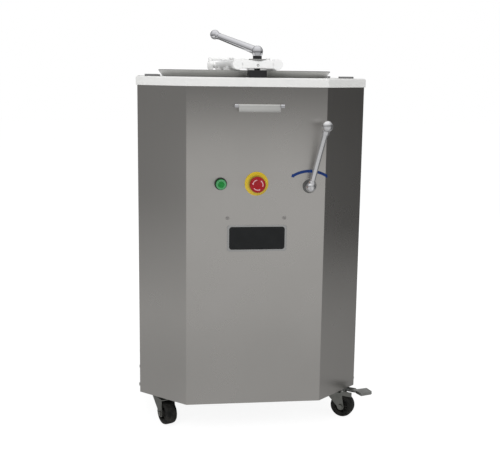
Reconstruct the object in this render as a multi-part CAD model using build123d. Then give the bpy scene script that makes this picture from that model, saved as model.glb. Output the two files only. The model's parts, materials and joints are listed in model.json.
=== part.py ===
from build123d import *
import math
import os

# Hydraulic dough divider: a floor-standing cabinet on casters with a round dough bin under a hinged, locked lid.
# Millimetres. The origin is on the floor below the bin's axis, +Z is up and the front faces -Y.

# Table and cabinet
table_width = 595.0
table_depth = 595.0
table_thickness = 22.0
table_top_z = 921.5
table_overhang = 3.5
table_corner_radius = 8.0
table_edge_radius = 4.0
front_width = 350.0
chamfer_depth = 105.0
skirt_drop = 12.0
sheet = 1.5
bend_radius = 2.0
groove_depth = 3.0
panel_gap = 0.3
seam_gap = 0.4
sheet_return = 20.0
base_thickness = 12.0
cut_margin = 1.0

# Tie columns and their round nuts
column_side_inset = 39.0
column_end_inset = 150.0
column_radius = 15.0
stud_radius = 10.0
stud_gap = 0.3
nut_radius = 20.0
nut_thickness = 5.0
nut_floor = 1.8
nut_round = 1.2

# Dough bin, press and knives
bin_radius = 205.0
bin_wall = 3.0
bin_depth = 125.0
bin_flange_width = 14.0
bin_flange_thickness = 3.0
lift_travel = 115.0
lift_clearance = 5.0
pad_gap = 0.6
pad_thickness = 40.0
inner_pads = 6
outer_pads = 14
knife_thickness = 2.0
knife_gap = 0.5
knife_drop = 1.5
knife_edge_gap = 5.0
knife_carrier_thickness = 12.0
press_rod_radius = 6.0
press_rod_gap = 0.5
inner_rod_share = 0.64
press_edge_gap = 29.0
press_carrier_thickness = 15.0
ram_radius = 25.0
ram_gap = 0.3
ram_showing = 30.0
main_cylinder_radius = 55.0
main_cylinder_bore = 45.0
main_flange_radius = 75.0
knife_cylinder_offset = 27.0
knife_cylinder_radius = 25.0
knife_cylinder_bore = 18.0
knife_rod_radius = 11.0
knife_rod_showing = 210.0
cylinder_cap = 20.0
cylinder_foot = 12.0
piston_thickness = 25.0
ear_half_width = 25.0

# Power pack
tank_width = 300.0
tank_depth = 190.0
tank_height = 130.0
tank_wall = 3.0
tank_rear_gap = 19.0
motor_x = -60.0
motor_radius = 70.0
motor_height = 150.0
motor_bell_height = 40.0
motor_bell_wall = 24.0
motor_fins = 24
motor_fin_width = 3.0
motor_fin_height = 4.0
motor_fin_root = 2.0
motor_fin_end_gap = 8.0
cowl_height = 33.0
cowl_step = 2.0
cowl_wall = 3.0
cowl_mouth_width = 28.0
motor_shaft_radius = 10.0
coupling_radius = 28.0
coupling_end_gap = 5.0
fan_blades = 7
fan_blade_thickness = 3.0
fan_blade_height = 16.0
fan_rise = 6.0
fan_tip_gap = 10.0
pump_radius = 40.0
pump_length = 84.0
pump_hole_gap = 5.0
pump_flange_radius = 58.0
pump_flange_thickness = 8.0
hose_radius = 6.0
hose_bend = 38.0
hose_bend_share = 0.45
hose_port_x = 14.0
hose_front_port = 24.0
hose_back_port = 60.0
hose_tank_inset = 25.0
hose_tank_pitch = 24.0
press_hose_rise = 51.0
knife_hose_rise = 81.0
link_pipe_rise = 116.0
link_pipe_y = -95.0
supply_hose_rise = 51.0
return_hose_rise = 76.0

# Lid
lid_lap = 5.0
lid_flare = 10.5
lid_height = 17.6
lid_seat_gap = 0.4
lid_floor = 4.0
lid_wall = 2.0
arm_x = 48.5
arm_radius = 13.0
arm_wall = 3.0
arm_rim_gap = 1.0
arm_nose = 16.0
arm_tail = 16.0
arm_round = 1.5
saddle_inset = 107.0
saddle_size = 40.0
saddle_lap = 6.0
saddle_floor = 2.0
bolt_radius = 3.0
bolt_gap = 0.1
bolt_end_gap = 2.0
bolt_head_radius = 6.0
bolt_head_height = 5.0

# Lid hinge
hinge_inset = 29.5
hinge_pin_radius = 7.0
hinge_gap = 0.12
hinge_ear_gap = 5.0
hinge_ear_thickness = 12.0
hinge_ear_wall = 9.0
hinge_plate_thickness = 8.0
hinge_plate_lap = 5.5
hinge_plate_front = 20.0
hinge_pin_head_lap = 3.0
hinge_pin_head = 4.0
hinge_screw_x = 22.0
hinge_screw_y = 11.0
lid_open_angle = 100.0
lid_stop_radius = 4.0
lid_stop_reach = 23.3
lid_stop_gap = 0.3
lid_stop_boss = 6.0

# Lid lock: the lever's ball is placed from its hub
lock_inset = 23.5
block_depth = 32.0
block_height = 20.0
lock_flange_radius = 21.0
lock_flange_thickness = 3.0
lock_flange_round = 0.8
spindle_radius = 7.0
spindle_gap = 0.15
spindle_collar_wall = 4.0
spindle_collar_gap = 0.3
spindle_collar_drop = 10.0
tee_length = 28.0
tee_width = 9.0
tee_height = 6.5
tee_rise = 3.5
keeper_width = 44.0
keeper_depth = 40.0
keeper_height = 18.0
keeper_lip = 6.5
keeper_clearance = 1.5
keeper_round = 4.0
lock_hub_rise = 19.0
lock_hub_radius = 13.8
lock_ball_offset = (-97.0, 97.0, 42.0)
lock_ball_radius = 12.0
lock_arm_radii = (9.8, 8.0)

# Front controls: places on the front sheet are x, and how far they lie below the table's top
start_x = -90.0
stop_x = 0.0
button_drop = 261.0
valve_x = 135.0
valve_drop = 267.8
front_screw_x = 72.0
front_screw_drop = 348.0
plate_x = 3.0
plate_drop = 399.5
handle_x = 4.0
handle_axis_drop = 68.5
button_body_radius = 11.0
button_body_length = 32.0
button_stem_radius = 5.0
button_stem_end_gap = 2.0
button_gap = 0.3
button_round = 0.8
start_bezel_radius = 15.5
start_bezel_height = 6.0
start_bezel_round = 1.5
start_pocket_depth = 5.5
start_cap_radius = 12.8
start_cap_thickness = 16.0
start_proud = 14.0
stop_disc_radius = 30.0
stop_disc_thickness = 3.0
stop_collar_radius = 14.0
stop_collar_height = 3.5
stop_head_radius = 20.0
stop_head_height = 17.0
stop_head_round = 7.0
stop_head_back_round = 2.0
stop_head_standoff = 11.0
stop_socket = 6.0
contact_width = 34.0
contact_height = 44.0
contact_depth = 40.0
contact_wall = 2.0
contact_slack = 1.0
plate_width = 151.0
plate_height = 67.0
plate_thickness = 1.5
plate_corner = 6.0
handle_length = 104.0
handle_drop = 14.5
handle_thickness = 4.0
handle_edge_round = 1.5
handle_knuckle_radius = 4.5
handle_standoff = 9.0
handle_post_width = 9.5
handle_eye_lap = 0.5
handle_pin_radius = 1.9
valve_width = 64.0
valve_height = 72.0
valve_depth = 87.5
valve_corner = 5.0
valve_end_wall = 10.0
valve_nose_radius = 17.0
valve_nose_height = 3.0
valve_nose_round = 1.0
spool_radius = 8.0
spool_gap = 0.15
spool_end_gap = 2.0
lever_hub_standoff = 17.2
lever_hub_radius = 13.2
lever_neck_radius = 10.5
lever_neck_gap = 0.5
lever_bend_offset = (17.0, -12.0, 82.0)
lever_ball_offset = (29.0, -39.0, 153.5)
lever_ball_radius = 14.0
lever_rod_radius = 7.4
lever_collar_radius = 9.6
lever_collar_length = 6.5
control_box_width = 180.0
control_box_depth = 60.0
control_box_height = 130.0
control_box_rise = 15.0

# Screws, gland and vents
screw_head_radius = 4.5
screw_head_height = 2.4
screw_head_round = 1.2
screw_radius = 2.0
screw_length = 12.0
screw_gap = 0.1
side_screws = 4
side_screw_end = 44.0
rear_screw_x = 200.0
gland_x = -200.0
gland_rise = 61.0
gland_bore = 5.0
gland_thread_radius = 10.0
gland_tail = 16.0
gland_nut_thickness = 7.0
gland_flange_radius = 14.0
gland_flange_thickness = 6.0
gland_dome_radius = 11.0
gland_dome_length = 14.0
gland_dome_round = 4.0
vent_length = 80.0
vent_height = 6.0
vent_pitch = 16.0
vent_rows = 9
vent_x = 70.0
vent_rise = 211.0

# Casters: trail directions at rest are degrees from +X, and the pedal's half-widths go with distances from its pivot
caster_side_inset = 58.0
caster_front_inset = 112.0
caster_rear_inset = 79.0
caster_angles = {"front_left": -64.0, "front_right": -32.0, "rear_left": 102.0, "rear_right": 80.0}
braked_casters = ("front_right",)
wheel_radius = 31.75
wheel_width = 31.75
tyre_round = 6.0
wheel_hub_radius = 20.5
hub_recess = 2.0
hub_boss_radius = 9.0
hub_boss_proud = 1.2
trail = 31.0
axle_radius = 4.0
axle_gap = 0.12
axle_nut_radius = 7.0
axle_nut_thickness = 4.0
fork_gap = 2.2
fork_sheet = 2.5
fork_crown_gap = 5.0
fork_crown_thickness = 3.0
fork_crown_corner = 6.0
fork_boss_radius = 9.5
fork_dome_radius = 24.0
fork_dome_round = 5.0
swivel_height = 27.0
kingpin_radius = 5.0
kingpin_gap = 0.3
kingpin_head_lap = 3.0
kingpin_head_thickness = 3.5
caster_flange_radius = 21.0
caster_flange_thickness = 4.0
bearing_gap = 0.4
stem_radius = 6.0
pedal_pivot_x = 36.0
pedal_pivot_rise = 8.0
pedal_half_widths = [(0.0, 9.0), (22.0, 7.0), (34.0, 7.0), (55.0, 24.0), (76.0, 3.0)]
pedal_pad_start = 34.0
pedal_pad_depth = 4.5
pedal_pad_wall = 2.5
pedal_sheet = 3.0
pedal_slope = -3.5
pedal_knuckle_radius = 4.0
pedal_knuckle_gap = 0.5
pedal_pin_radius = 2.4
pedal_pin_gap = 0.2
pedal_ear_foot = 5.0
pedal_ear_reach = 26.0
pedal_ear_drop = 4.5

# Places worked out from the sizes above
cabinet_width = table_width - 2 * table_overhang
cabinet_depth = table_depth - 2 * table_overhang
chamfer_width = (cabinet_width - front_width) / 2
front_y = -cabinet_depth / 2
rear_y = cabinet_depth / 2
inner_front_y = front_y + sheet
inner_rear_y = rear_y - sheet
table_bottom_z = table_top_z - table_thickness
panel_top_z = table_bottom_z + groove_depth
fork_crown_z = 2 * wheel_radius + fork_crown_gap
base_z = fork_crown_z + swivel_height
base_top_z = base_z + base_thickness
skirt_z = base_z - skirt_drop
bin_outer_radius = bin_radius + bin_wall
bin_flange_radius = bin_outer_radius + bin_flange_width
pad_top_z = table_top_z - bin_depth
pad_bottom_z = pad_top_z - pad_thickness
knife_carrier_radius = bin_radius - knife_edge_gap
knife_carrier_top_z = pad_bottom_z - lift_travel - 2 * lift_clearance
knife_carrier_bottom_z = knife_carrier_top_z - knife_carrier_thickness
bin_bottom_z = knife_carrier_top_z + lift_travel + lift_clearance
press_carrier_radius = bin_radius - press_edge_gap
press_carrier_top_z = knife_carrier_bottom_z - lift_travel - lift_clearance
press_carrier_bottom_z = press_carrier_top_z - press_carrier_thickness
slot_width = knife_thickness + 2 * knife_gap
pad_radius = bin_radius - pad_gap
ring_radius = bin_radius * math.sqrt(inner_pads / (inner_pads + outer_pads))
main_cylinder_top_z = press_carrier_bottom_z - ram_showing
knife_cylinder_x = bin_outer_radius + knife_cylinder_offset
knife_cylinder_top_z = knife_carrier_bottom_z - knife_rod_showing
tank_y = rear_y - tank_rear_gap - tank_depth / 2
tank_top_z = base_top_z + tank_height
bell_z = tank_top_z + pump_flange_thickness
motor_z = bell_z + motor_bell_height
cowl_z = motor_z + motor_height
motor_place = (motor_x, tank_y)
lid_bottom_radius = bin_flange_radius + lid_lap
lid_rim_radius = lid_bottom_radius + lid_flare
lid_bottom_z = table_top_z + lid_seat_gap
lid_floor_z = lid_bottom_z + lid_floor
lid_rim_z = lid_bottom_z + lid_height
lock_y = -table_depth / 2 + lock_inset
hinge_y = table_depth / 2 - hinge_inset
arm_z = lid_rim_z + arm_rim_gap + arm_radius
arm_front_y = lock_y - arm_nose
arm_rear_y = hinge_y + arm_tail
saddle_y = lid_bottom_radius - saddle_inset
hinge_plate_z = table_top_z + hinge_plate_thickness
hinge_ear_x = arm_x + arm_radius + hinge_ear_gap
hinge_outer_x = hinge_ear_x + hinge_ear_thickness
block_bottom_z = arm_z - block_height / 2
block_top_z = arm_z + block_height / 2
lock_flange_z = block_top_z + lock_flange_thickness
lock_hub_z = lock_flange_z + lock_hub_rise
tee_z = table_top_z + tee_rise
start_at = (start_x, table_top_z - button_drop)
stop_at = (stop_x, table_top_z - button_drop)
valve_at = (valve_x, table_top_z - valve_drop)
plate_at = (plate_x, table_top_z - plate_drop)
front_screw_z = table_top_z - front_screw_drop
handle_axis = (handle_x, front_y - handle_standoff, table_top_z - handle_axis_drop)
button_end_y = front_y + button_body_length
gland_at = (gland_x, base_top_z + gland_rise)
dome_top_z = base_z - caster_flange_thickness - bearing_gap
fork_crown_top_z = fork_crown_z + fork_crown_thickness
fork_inner = wheel_width / 2 + fork_gap
fork_outer = fork_inner + fork_sheet
pedal_pivot_z = fork_crown_z + pedal_pivot_rise
column_x = cabinet_width / 2 - column_side_inset
column_y = cabinet_depth / 2 - column_end_inset
column_places = [(x, y) for x in (-column_x, column_x) for y in (-column_y, column_y)]
saddle_places = [(x, y) for x in (-arm_x, arm_x) for y in (-saddle_y, saddle_y)]
hinge_screw_ys = (hinge_y - hinge_screw_y, hinge_y + hinge_screw_y)
hinge_screw_places = [(x, y) for x in (-hinge_screw_x, hinge_screw_x) for y in hinge_screw_ys]
caster_x = cabinet_width / 2 - caster_side_inset
caster_places = {
    "front_left": (-caster_x, front_y + caster_front_inset),
    "front_right": (caster_x, front_y + caster_front_inset),
    "rear_left": (-caster_x, rear_y - caster_rear_inset),
    "rear_right": (caster_x, rear_y - caster_rear_inset),
}


# Shared shapes

def block(x0, x1, y0, y1, z0, z1):
    """Box between two corners."""
    return Pos(x0, y0, z0) * Box(x1 - x0, y1 - y0, z1 - z0, align=(Align.MIN, Align.MIN, Align.MIN))


def post(radius, place, z0, z1):
    """Upright cylinder at an (x, y) place."""
    return Pos(*place, z0) * Cylinder(radius, z1 - z0, align=(Align.CENTER, Align.CENTER, Align.MIN))


def bar_y(radius, place, y0, y1):
    """Cylinder along Y at an (x, z) place."""
    x, z = place
    turned = Cylinder(radius, y1 - y0, align=(Align.CENTER, Align.CENTER, Align.MIN))
    return Pos(x, y0, z) * Rot(-90, 0, 0) * turned


def bar_x(radius, place, x0, x1):
    """Cylinder along X at a (y, z) place."""
    turned = Cylinder(radius, x1 - x0, align=(Align.CENTER, Align.CENTER, Align.MIN))
    return Pos(x0, *place) * Rot(0, 90, 0) * turned


def through(bar, radius, place, start, end):
    """Cutting bar that runs past both faces of what it goes through."""
    return bar(radius, place, start - cut_margin, end + cut_margin)


def strut(start, end, start_radius, end_radius):
    """Round bar between two points, tapered when its radii differ."""
    along = Vector(*end) - Vector(*start)
    seat = Plane(origin=start, z_dir=along).location
    align = (Align.CENTER, Align.CENTER, Align.MIN)
    if start_radius == end_radius:
        return seat * Cylinder(start_radius, along.length, align=align)
    return seat * Cone(start_radius, end_radius, along.length, align=align)


def ball(radius, place):
    return Pos(*place) * Sphere(radius)


def prism(points, z0, z1, corner=0.0):
    """Upright prism on a closed outline of (x, y) points, with its corners rounded."""
    edge = FilletPolyline(*points, radius=corner, close=True)
    return extrude(Pos(0, 0, z0) * make_face(edge), z1 - z0, dir=(0, 0, 1))


def moved(place, offset):
    return tuple(a + b for a, b in zip(place, offset))


def hex_bolt(place, seat_z, foot_z):
    """Hexagon-head bolt at an (x, y) place, from its head's seat down to its foot."""
    head = Pos(*place, seat_z) * extrude(RegularPolygon(bolt_head_radius, 6), bolt_head_height)
    return head + post(bolt_radius, place, foot_z, seat_z)


def outline(inset):
    """Cabinet's plan, drawn in by inset: front right, right, rear right, rear left, left, front left."""
    half_width = cabinet_width / 2 - inset
    half_depth = cabinet_depth / 2 - inset
    slope = math.hypot(chamfer_width, chamfer_depth)
    out_x = chamfer_depth / slope
    out_y = chamfer_width / slope
    reach = out_x * front_width / 2 + out_y * cabinet_depth / 2 - inset
    right = [
        ((reach - out_y * half_depth) / out_x, -half_depth),
        (half_width, -(reach - out_x * half_width) / out_y),
        (half_width, half_depth),
    ]
    return right + [(-x, y) for x, y in reversed(right)]


def folded(outer, inner):
    """Upright folded sheet between an outer and an inner path."""
    bends = len(outer) - 2
    outer_radii = [0.0] + [bend_radius + sheet] * bends + [0.0]
    inner_radii = [0.0] + [bend_radius] * bends + [0.0]
    edge = FilletPolyline(*(outer + inner[::-1]), radius=outer_radii + inner_radii, close=True)
    return extrude(Pos(0, 0, skirt_z) * make_face(edge), panel_top_z - skirt_z, dir=(0, 0, 1))


# Panel screws

def screw():
    """Pan-head screw along Z with its head's seat at the origin."""
    head = Cylinder(screw_head_radius, screw_head_height, align=(Align.CENTER, Align.CENTER, Align.MIN))
    head = fillet(head.edges().group_by(Axis.Z)[-1], screw_head_round)
    return head + post(screw_radius, (0, 0), -screw_length, 0)


def screw_seats():
    """Seats of the bottom rows, in the base plate's edge, and of the pair on the front that holds the control box."""
    row_z = base_z + base_thickness / 2
    side_x = cabinet_width / 2
    start_y = outline(0)[1][1] + sheet_return / 2
    step_y = (rear_y - side_screw_end - start_y) / (side_screws - 1)
    corner_x = side_x - sheet_return / 2
    seats = []
    for side in (-1, 1):
        for index in range(side_screws):
            seats.append(Plane(origin=(side * side_x, start_y + index * step_y, row_z), z_dir=(side, 0, 0)))
        seats.append(Plane(origin=(side * front_screw_x, front_y, front_screw_z), z_dir=(0, -1, 0)))
    for x in (-corner_x, -rear_screw_x, 0, rear_screw_x, corner_x):
        seats.append(Plane(origin=(x, rear_y, row_z), z_dir=(0, 1, 0)))
    return [seat.location for seat in seats]


def cut_screw_holes(shape):
    """Shape with a clearance hole for every screw that reaches it."""
    for seat in screw_seats():
        shape -= seat * through(post, screw_radius + screw_gap, (0, 0), -screw_length, 0)
    return shape


def panel_screws():
    return [seat * screw() for seat in screw_seats()]


# Cabinet

def front_panel():
    outer = outline(0)
    inner = outline(sheet)
    end_y = outer[1][1] + sheet_return
    outer_path = [(outer[4][0], end_y), outer[4], outer[5], outer[0], outer[1], (outer[1][0], end_y)]
    inner_path = [(inner[4][0], end_y), inner[4], inner[5], inner[0], inner[1], (inner[1][0], end_y)]
    panel = folded(outer_path, inner_path)
    for place in (start_at, stop_at):
        panel -= through(bar_y, button_body_radius + button_gap, place, front_y, inner_front_y)
    panel -= through(bar_y, valve_nose_radius + button_gap, valve_at, front_y, inner_front_y)
    return cut_screw_holes(panel)


def side_panel():
    """Right-hand side with its rear return."""
    outer = outline(0)
    inner = outline(sheet)
    start_y = outer[1][1] + sheet_return + seam_gap
    end_x = outer[2][0] - sheet_return
    outer_path = [(outer[1][0], start_y), outer[2], (end_x, outer[2][1])]
    inner_path = [(inner[1][0], start_y), inner[2], (end_x, inner[2][1])]
    return cut_screw_holes(folded(outer_path, inner_path))


def rear_panel():
    half_width = cabinet_width / 2 - sheet_return - seam_gap
    panel = block(-half_width, half_width, inner_rear_y, rear_y, skirt_z, panel_top_z)
    vent = extrude(SlotOverall(vent_length, vent_height), sheet + 2 * cut_margin)
    for x in (-vent_x, vent_x):
        for row in range(vent_rows):
            z = base_top_z + vent_rise + row * vent_pitch
            panel -= Pos(x, rear_y + cut_margin, z) * Rot(90, 0, 0) * vent
    panel -= through(bar_y, gland_thread_radius + button_gap, gland_at, inner_rear_y, rear_y)
    return cut_screw_holes(panel)


def base_plate():
    plate = prism(outline(sheet + panel_gap), base_z, base_top_z, bend_radius)
    for place in column_places:
        plate -= through(post, stud_radius + stud_gap, place, base_z, base_top_z)
    for place in caster_places.values():
        plate -= through(post, stem_radius + stud_gap, place, base_z, base_top_z)
    return cut_screw_holes(plate)


def tie_column(place):
    grip = nut_thickness - nut_floor
    stud = post(stud_radius, place, base_z - grip, table_top_z + grip)
    return stud + post(column_radius, place, base_top_z, table_bottom_z)


def column_nut(place, seat_z, up):
    """Low round nut with a blind thread, on the table or under the base plate."""
    low_z = seat_z if up else seat_z - nut_thickness
    nut = post(nut_radius, place, low_z, low_z + nut_thickness)
    free_edge = nut.edges().group_by(Axis.Z)[-1 if up else 0]
    nut = fillet(free_edge, nut_round)
    depth = nut_thickness - nut_floor + stud_gap
    hole_z = seat_z if up else seat_z - depth
    return nut - post(stud_radius + stud_gap, place, hole_z, hole_z + depth)


def table_top():
    slab = prism(outline(-table_overhang), table_bottom_z, table_top_z, table_corner_radius)
    slab = fillet(slab.faces().sort_by(Axis.Z)[-1].edges(), table_edge_radius)
    groove_top_z = panel_top_z + panel_gap
    groove = prism(outline(-panel_gap), table_bottom_z - cut_margin, groove_top_z)
    groove -= prism(outline(sheet + panel_gap), table_bottom_z - cut_margin, groove_top_z, bend_radius)
    slab -= groove
    slab -= through(post, bin_outer_radius + panel_gap, (0, 0), table_bottom_z, table_top_z)
    recess_z = table_top_z - bin_flange_thickness
    slab -= post(bin_flange_radius + panel_gap, (0, 0), recess_z, table_top_z + cut_margin)
    for place in column_places:
        slab -= through(post, stud_radius + stud_gap, place, table_bottom_z, table_top_z)
    return slab


def nameplate():
    x, z = plate_at
    plate = extrude(RectangleRounded(plate_width, plate_height, plate_corner), plate_thickness)
    return Pos(x, front_y, z) * Rot(90, 0, 0) * plate


def cable_gland():
    tail_y = inner_rear_y - gland_tail
    flange_y = rear_y + gland_flange_thickness
    end_y = flange_y + gland_dome_length
    gland = bar_y(gland_thread_radius, gland_at, tail_y, rear_y)
    gland += bar_y(gland_flange_radius, gland_at, inner_rear_y - gland_nut_thickness, inner_rear_y)
    gland += bar_y(gland_flange_radius, gland_at, rear_y, flange_y)
    dome = bar_y(gland_dome_radius, gland_at, flange_y, end_y)
    gland += fillet(dome.edges().group_by(Axis.Y)[-1], gland_dome_round)
    return gland - through(bar_y, gland_bore, gland_at, tail_y, end_y)


# Dough bin, press and knives

def dough_bin():
    body = post(bin_outer_radius, (0, 0), bin_bottom_z, table_top_z)
    body += post(bin_flange_radius, (0, 0), table_top_z - bin_flange_thickness, table_top_z)
    return body - through(post, bin_radius, (0, 0), bin_bottom_z, table_top_z)


def radial_bars(width, z0, z1, reach):
    """Bars under the pad joints: inner ones to the ring, outer ones from the ring to reach."""
    bars = []
    for index in range(inner_pads):
        bar = block(0, ring_radius, -width / 2, width / 2, z0, z1)
        bars.append(Rot(0, 0, index * 360 / inner_pads) * bar)
    for index in range(outer_pads):
        bar = block(ring_radius, reach, -width / 2, width / 2, z0, z1)
        bars.append(Rot(0, 0, index * 360 / outer_pads) * bar)
    return bars


def ring(mid_radius, width, z0, z1):
    outer = post(mid_radius + width / 2, (0, 0), z0, z1)
    return outer - through(post, mid_radius - width / 2, (0, 0), z0, z1)


def press_pads():
    low_z, high_z = pad_bottom_z - cut_margin, pad_top_z + cut_margin
    disc = post(pad_radius, (0, 0), pad_bottom_z, pad_top_z)
    disc -= ring(ring_radius, slot_width, low_z, high_z)
    for bar in radial_bars(slot_width, low_z, high_z, pad_radius + cut_margin):
        disc -= bar
    return list(disc.solids())


def press_rod_places():
    """One rod near the middle of each pad."""
    inner_reach = inner_rod_share * ring_radius
    outer_reach = (ring_radius + pad_radius) / 2
    places = [(inner_reach, (index + 0.5) * 360 / inner_pads) for index in range(inner_pads)]
    places += [(outer_reach, (index + 0.5) * 360 / outer_pads) for index in range(outer_pads)]
    return [(r * math.cos(math.radians(a)), r * math.sin(math.radians(a))) for r, a in places]


def press_rods():
    return [post(press_rod_radius, place, press_carrier_top_z, pad_bottom_z) for place in press_rod_places()]


def press_carrier():
    return post(press_carrier_radius, (0, 0), press_carrier_bottom_z, press_carrier_top_z)


def cylinder(x, radius, bore, rod_radius, top_z):
    """Upright hydraulic cylinder on the base plate, open only round its rod."""
    place = (x, 0)
    cap_z = top_z - cylinder_cap
    barrel = post(radius, place, base_top_z, top_z)
    barrel -= post(bore, place, base_top_z + cylinder_foot, cap_z)
    return barrel - through(post, rod_radius + ram_gap, place, cap_z, top_z)


def ram(x, rod_radius, bore, top_z):
    """Piston rod with its piston, at the bottom of its stroke."""
    place = (x, 0)
    piston_z = base_top_z + cylinder_foot + lift_clearance
    piston = post(bore - ram_gap, place, piston_z, piston_z + piston_thickness)
    return piston + post(rod_radius, place, piston_z, top_z)


def press_ram():
    return ram(0, ram_radius, main_cylinder_bore, press_carrier_bottom_z)


def main_cylinder():
    barrel = cylinder(0, main_cylinder_radius, main_cylinder_bore, ram_radius, main_cylinder_top_z)
    flange = post(main_flange_radius, (0, 0), base_top_z, base_top_z + cylinder_foot)
    return barrel + flange


def knife_cylinders():
    sizes = (knife_cylinder_radius, knife_cylinder_bore, knife_rod_radius, knife_cylinder_top_z)
    return [cylinder(x, *sizes) for x in (-knife_cylinder_x, knife_cylinder_x)]


def knife_rods():
    sizes = (knife_rod_radius, knife_cylinder_bore, knife_carrier_bottom_z)
    return [ram(x, *sizes) for x in (-knife_cylinder_x, knife_cylinder_x)]


def knife_carrier():
    z0, z1 = knife_carrier_bottom_z, knife_carrier_top_z
    plate = post(knife_carrier_radius, (0, 0), z0, z1)
    reach = knife_cylinder_x + ear_half_width
    plate += block(-reach, reach, -ear_half_width, ear_half_width, z0, z1)
    for place in press_rod_places():
        plate -= through(post, press_rod_radius + press_rod_gap, place, z0, z1)
    return plate


def knife_blades():
    z0, z1 = knife_carrier_top_z, pad_top_z - knife_drop
    blades = ring(ring_radius, knife_thickness, z0, z1)
    for bar in radial_bars(knife_thickness, z0, z1, knife_carrier_radius):
        blades += bar
    return blades


# Power pack

def oil_tank():
    half = tank_width / 2
    y0, y1 = tank_y - tank_depth / 2, tank_y + tank_depth / 2
    tank = block(-half, half, y0, y1, base_top_z, tank_top_z)
    inner = (-half + tank_wall, half - tank_wall, y0 + tank_wall, y1 - tank_wall)
    tank -= block(*inner, base_top_z + tank_wall, tank_top_z - tank_wall)
    return tank - through(post, pump_radius + pump_hole_gap, motor_place, tank_top_z - tank_wall, tank_top_z)


def pump():
    flange = post(pump_flange_radius, motor_place, tank_top_z, bell_z)
    return flange + post(pump_radius, motor_place, tank_top_z - pump_length, tank_top_z)


def round_motor(piece, count):
    """Copies of a piece that points along X, spread round the motor's axis."""
    return [Pos(*motor_place, 0) * Rot(0, 0, index * 360 / count) * piece for index in range(count)]


def motor():
    bell = post(pump_flange_radius, motor_place, bell_z, motor_z)
    bell -= through(post, pump_flange_radius - motor_bell_wall, motor_place, bell_z, motor_z)
    body = post(motor_radius, motor_place, motor_z, cowl_z)
    fin_start, fin_end = motor_radius - motor_fin_root, motor_radius + motor_fin_height
    fin_z0, fin_z1 = motor_z + motor_fin_end_gap, cowl_z - motor_fin_end_gap
    fin = block(fin_start, fin_end, -motor_fin_width / 2, motor_fin_width / 2, fin_z0, fin_z1)
    for copy in round_motor(fin, motor_fins):
        body += copy
    body -= through(post, motor_shaft_radius + ram_gap, motor_place, motor_z, cowl_z)
    cowl_radius = motor_radius - cowl_step
    top_z = cowl_z + cowl_height
    cowl = post(cowl_radius, motor_place, cowl_z, top_z)
    cowl -= post(cowl_radius - cowl_wall, motor_place, cowl_z - cut_margin, top_z - cowl_wall)
    cowl -= through(post, cowl_radius - cowl_mouth_width, motor_place, cowl_z, top_z)
    return bell + body + cowl


def motor_shaft():
    fan_z0 = cowl_z + fan_rise
    fan_z1 = fan_z0 + fan_blade_height
    shaft = post(motor_shaft_radius, motor_place, bell_z + bearing_gap, fan_z1)
    shaft += post(coupling_radius, motor_place, bell_z + coupling_end_gap, motor_z - coupling_end_gap)
    half = fan_blade_thickness / 2
    blade = block(motor_shaft_radius - half, motor_radius - fan_tip_gap, -half, half, fan_z0, fan_z1)
    for copy in round_motor(blade, fan_blades):
        shaft += copy
    return shaft


def hose(points):
    """Round hose along straight runs, with round bends as large as its shortest run allows."""
    runs = [(Vector(*b) - Vector(*a)).length for a, b in zip(points, points[1:])]
    path = FilletPolyline(*points, radius=min(hose_bend, hose_bend_share * min(runs)))
    start = Plane(origin=path @ 0, z_dir=path % 0)
    return sweep(start * Circle(hose_radius), path=path)


def tank_hose(port_x, tank_x, level_z):
    """From a rear port of the valve, back over the cylinders and down to the tank's lid."""
    port_y = inner_front_y + hose_back_port
    tank_edge_y = tank_y - tank_depth / 2 + hose_tank_inset
    port = (port_x, port_y, valve_at[1] - valve_height / 2)
    tank = (tank_x, tank_edge_y, tank_top_z)
    return hose([port, (port_x, port_y, level_z), (tank_x, tank_edge_y, level_z), tank])


def cylinder_hose(port_x, end_x, level_z):
    """From a front port of the valve, down and back to the side of a cylinder."""
    port_y = inner_front_y + hose_front_port
    port = (port_x, port_y, valve_at[1] - valve_height / 2)
    return hose([port, (port_x, port_y, level_z), (port_x, 0, level_z), (end_x, 0, level_z)])


def link_pipe():
    """Joins the two knife cylinders in front of the main one."""
    x, y, z = knife_cylinder_x, -knife_cylinder_radius, base_top_z + link_pipe_rise
    return hose([(x, y, z), (x, link_pipe_y, z), (-x, link_pipe_y, z), (-x, y, z)])


def hydraulic_hoses():
    left, right = valve_x - hose_port_x, valve_x + hose_port_x
    return [
        tank_hose(left, left, tank_top_z + supply_hose_rise),
        tank_hose(right, left + hose_tank_pitch, tank_top_z + return_hose_rise),
        cylinder_hose(left, main_cylinder_radius, base_top_z + press_hose_rise),
        cylinder_hose(right, knife_cylinder_x - knife_cylinder_radius, base_top_z + knife_hose_rise),
        link_pipe(),
    ]


# Front controls

def start_bezel():
    face_y = front_y - start_bezel_height
    bezel = bar_y(start_bezel_radius, start_at, face_y, front_y)
    bezel = fillet(bezel.edges().group_by(Axis.Y)[0], start_bezel_round)
    bezel += bar_y(button_body_radius, start_at, front_y, button_end_y)
    bezel -= bar_y(start_cap_radius + button_gap, start_at, face_y - cut_margin, face_y + start_pocket_depth)
    return bezel - through(bar_y, button_stem_radius + button_gap, start_at, face_y, button_end_y)


def start_button():
    cap_y = front_y - start_bezel_height - start_proud
    cap = bar_y(start_cap_radius, start_at, cap_y, cap_y + start_cap_thickness)
    cap = fillet(cap.edges().group_by(Axis.Y)[0], button_round)
    return cap + bar_y(button_stem_radius, start_at, cap_y + start_cap_thickness, button_end_y - button_stem_end_gap)


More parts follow.
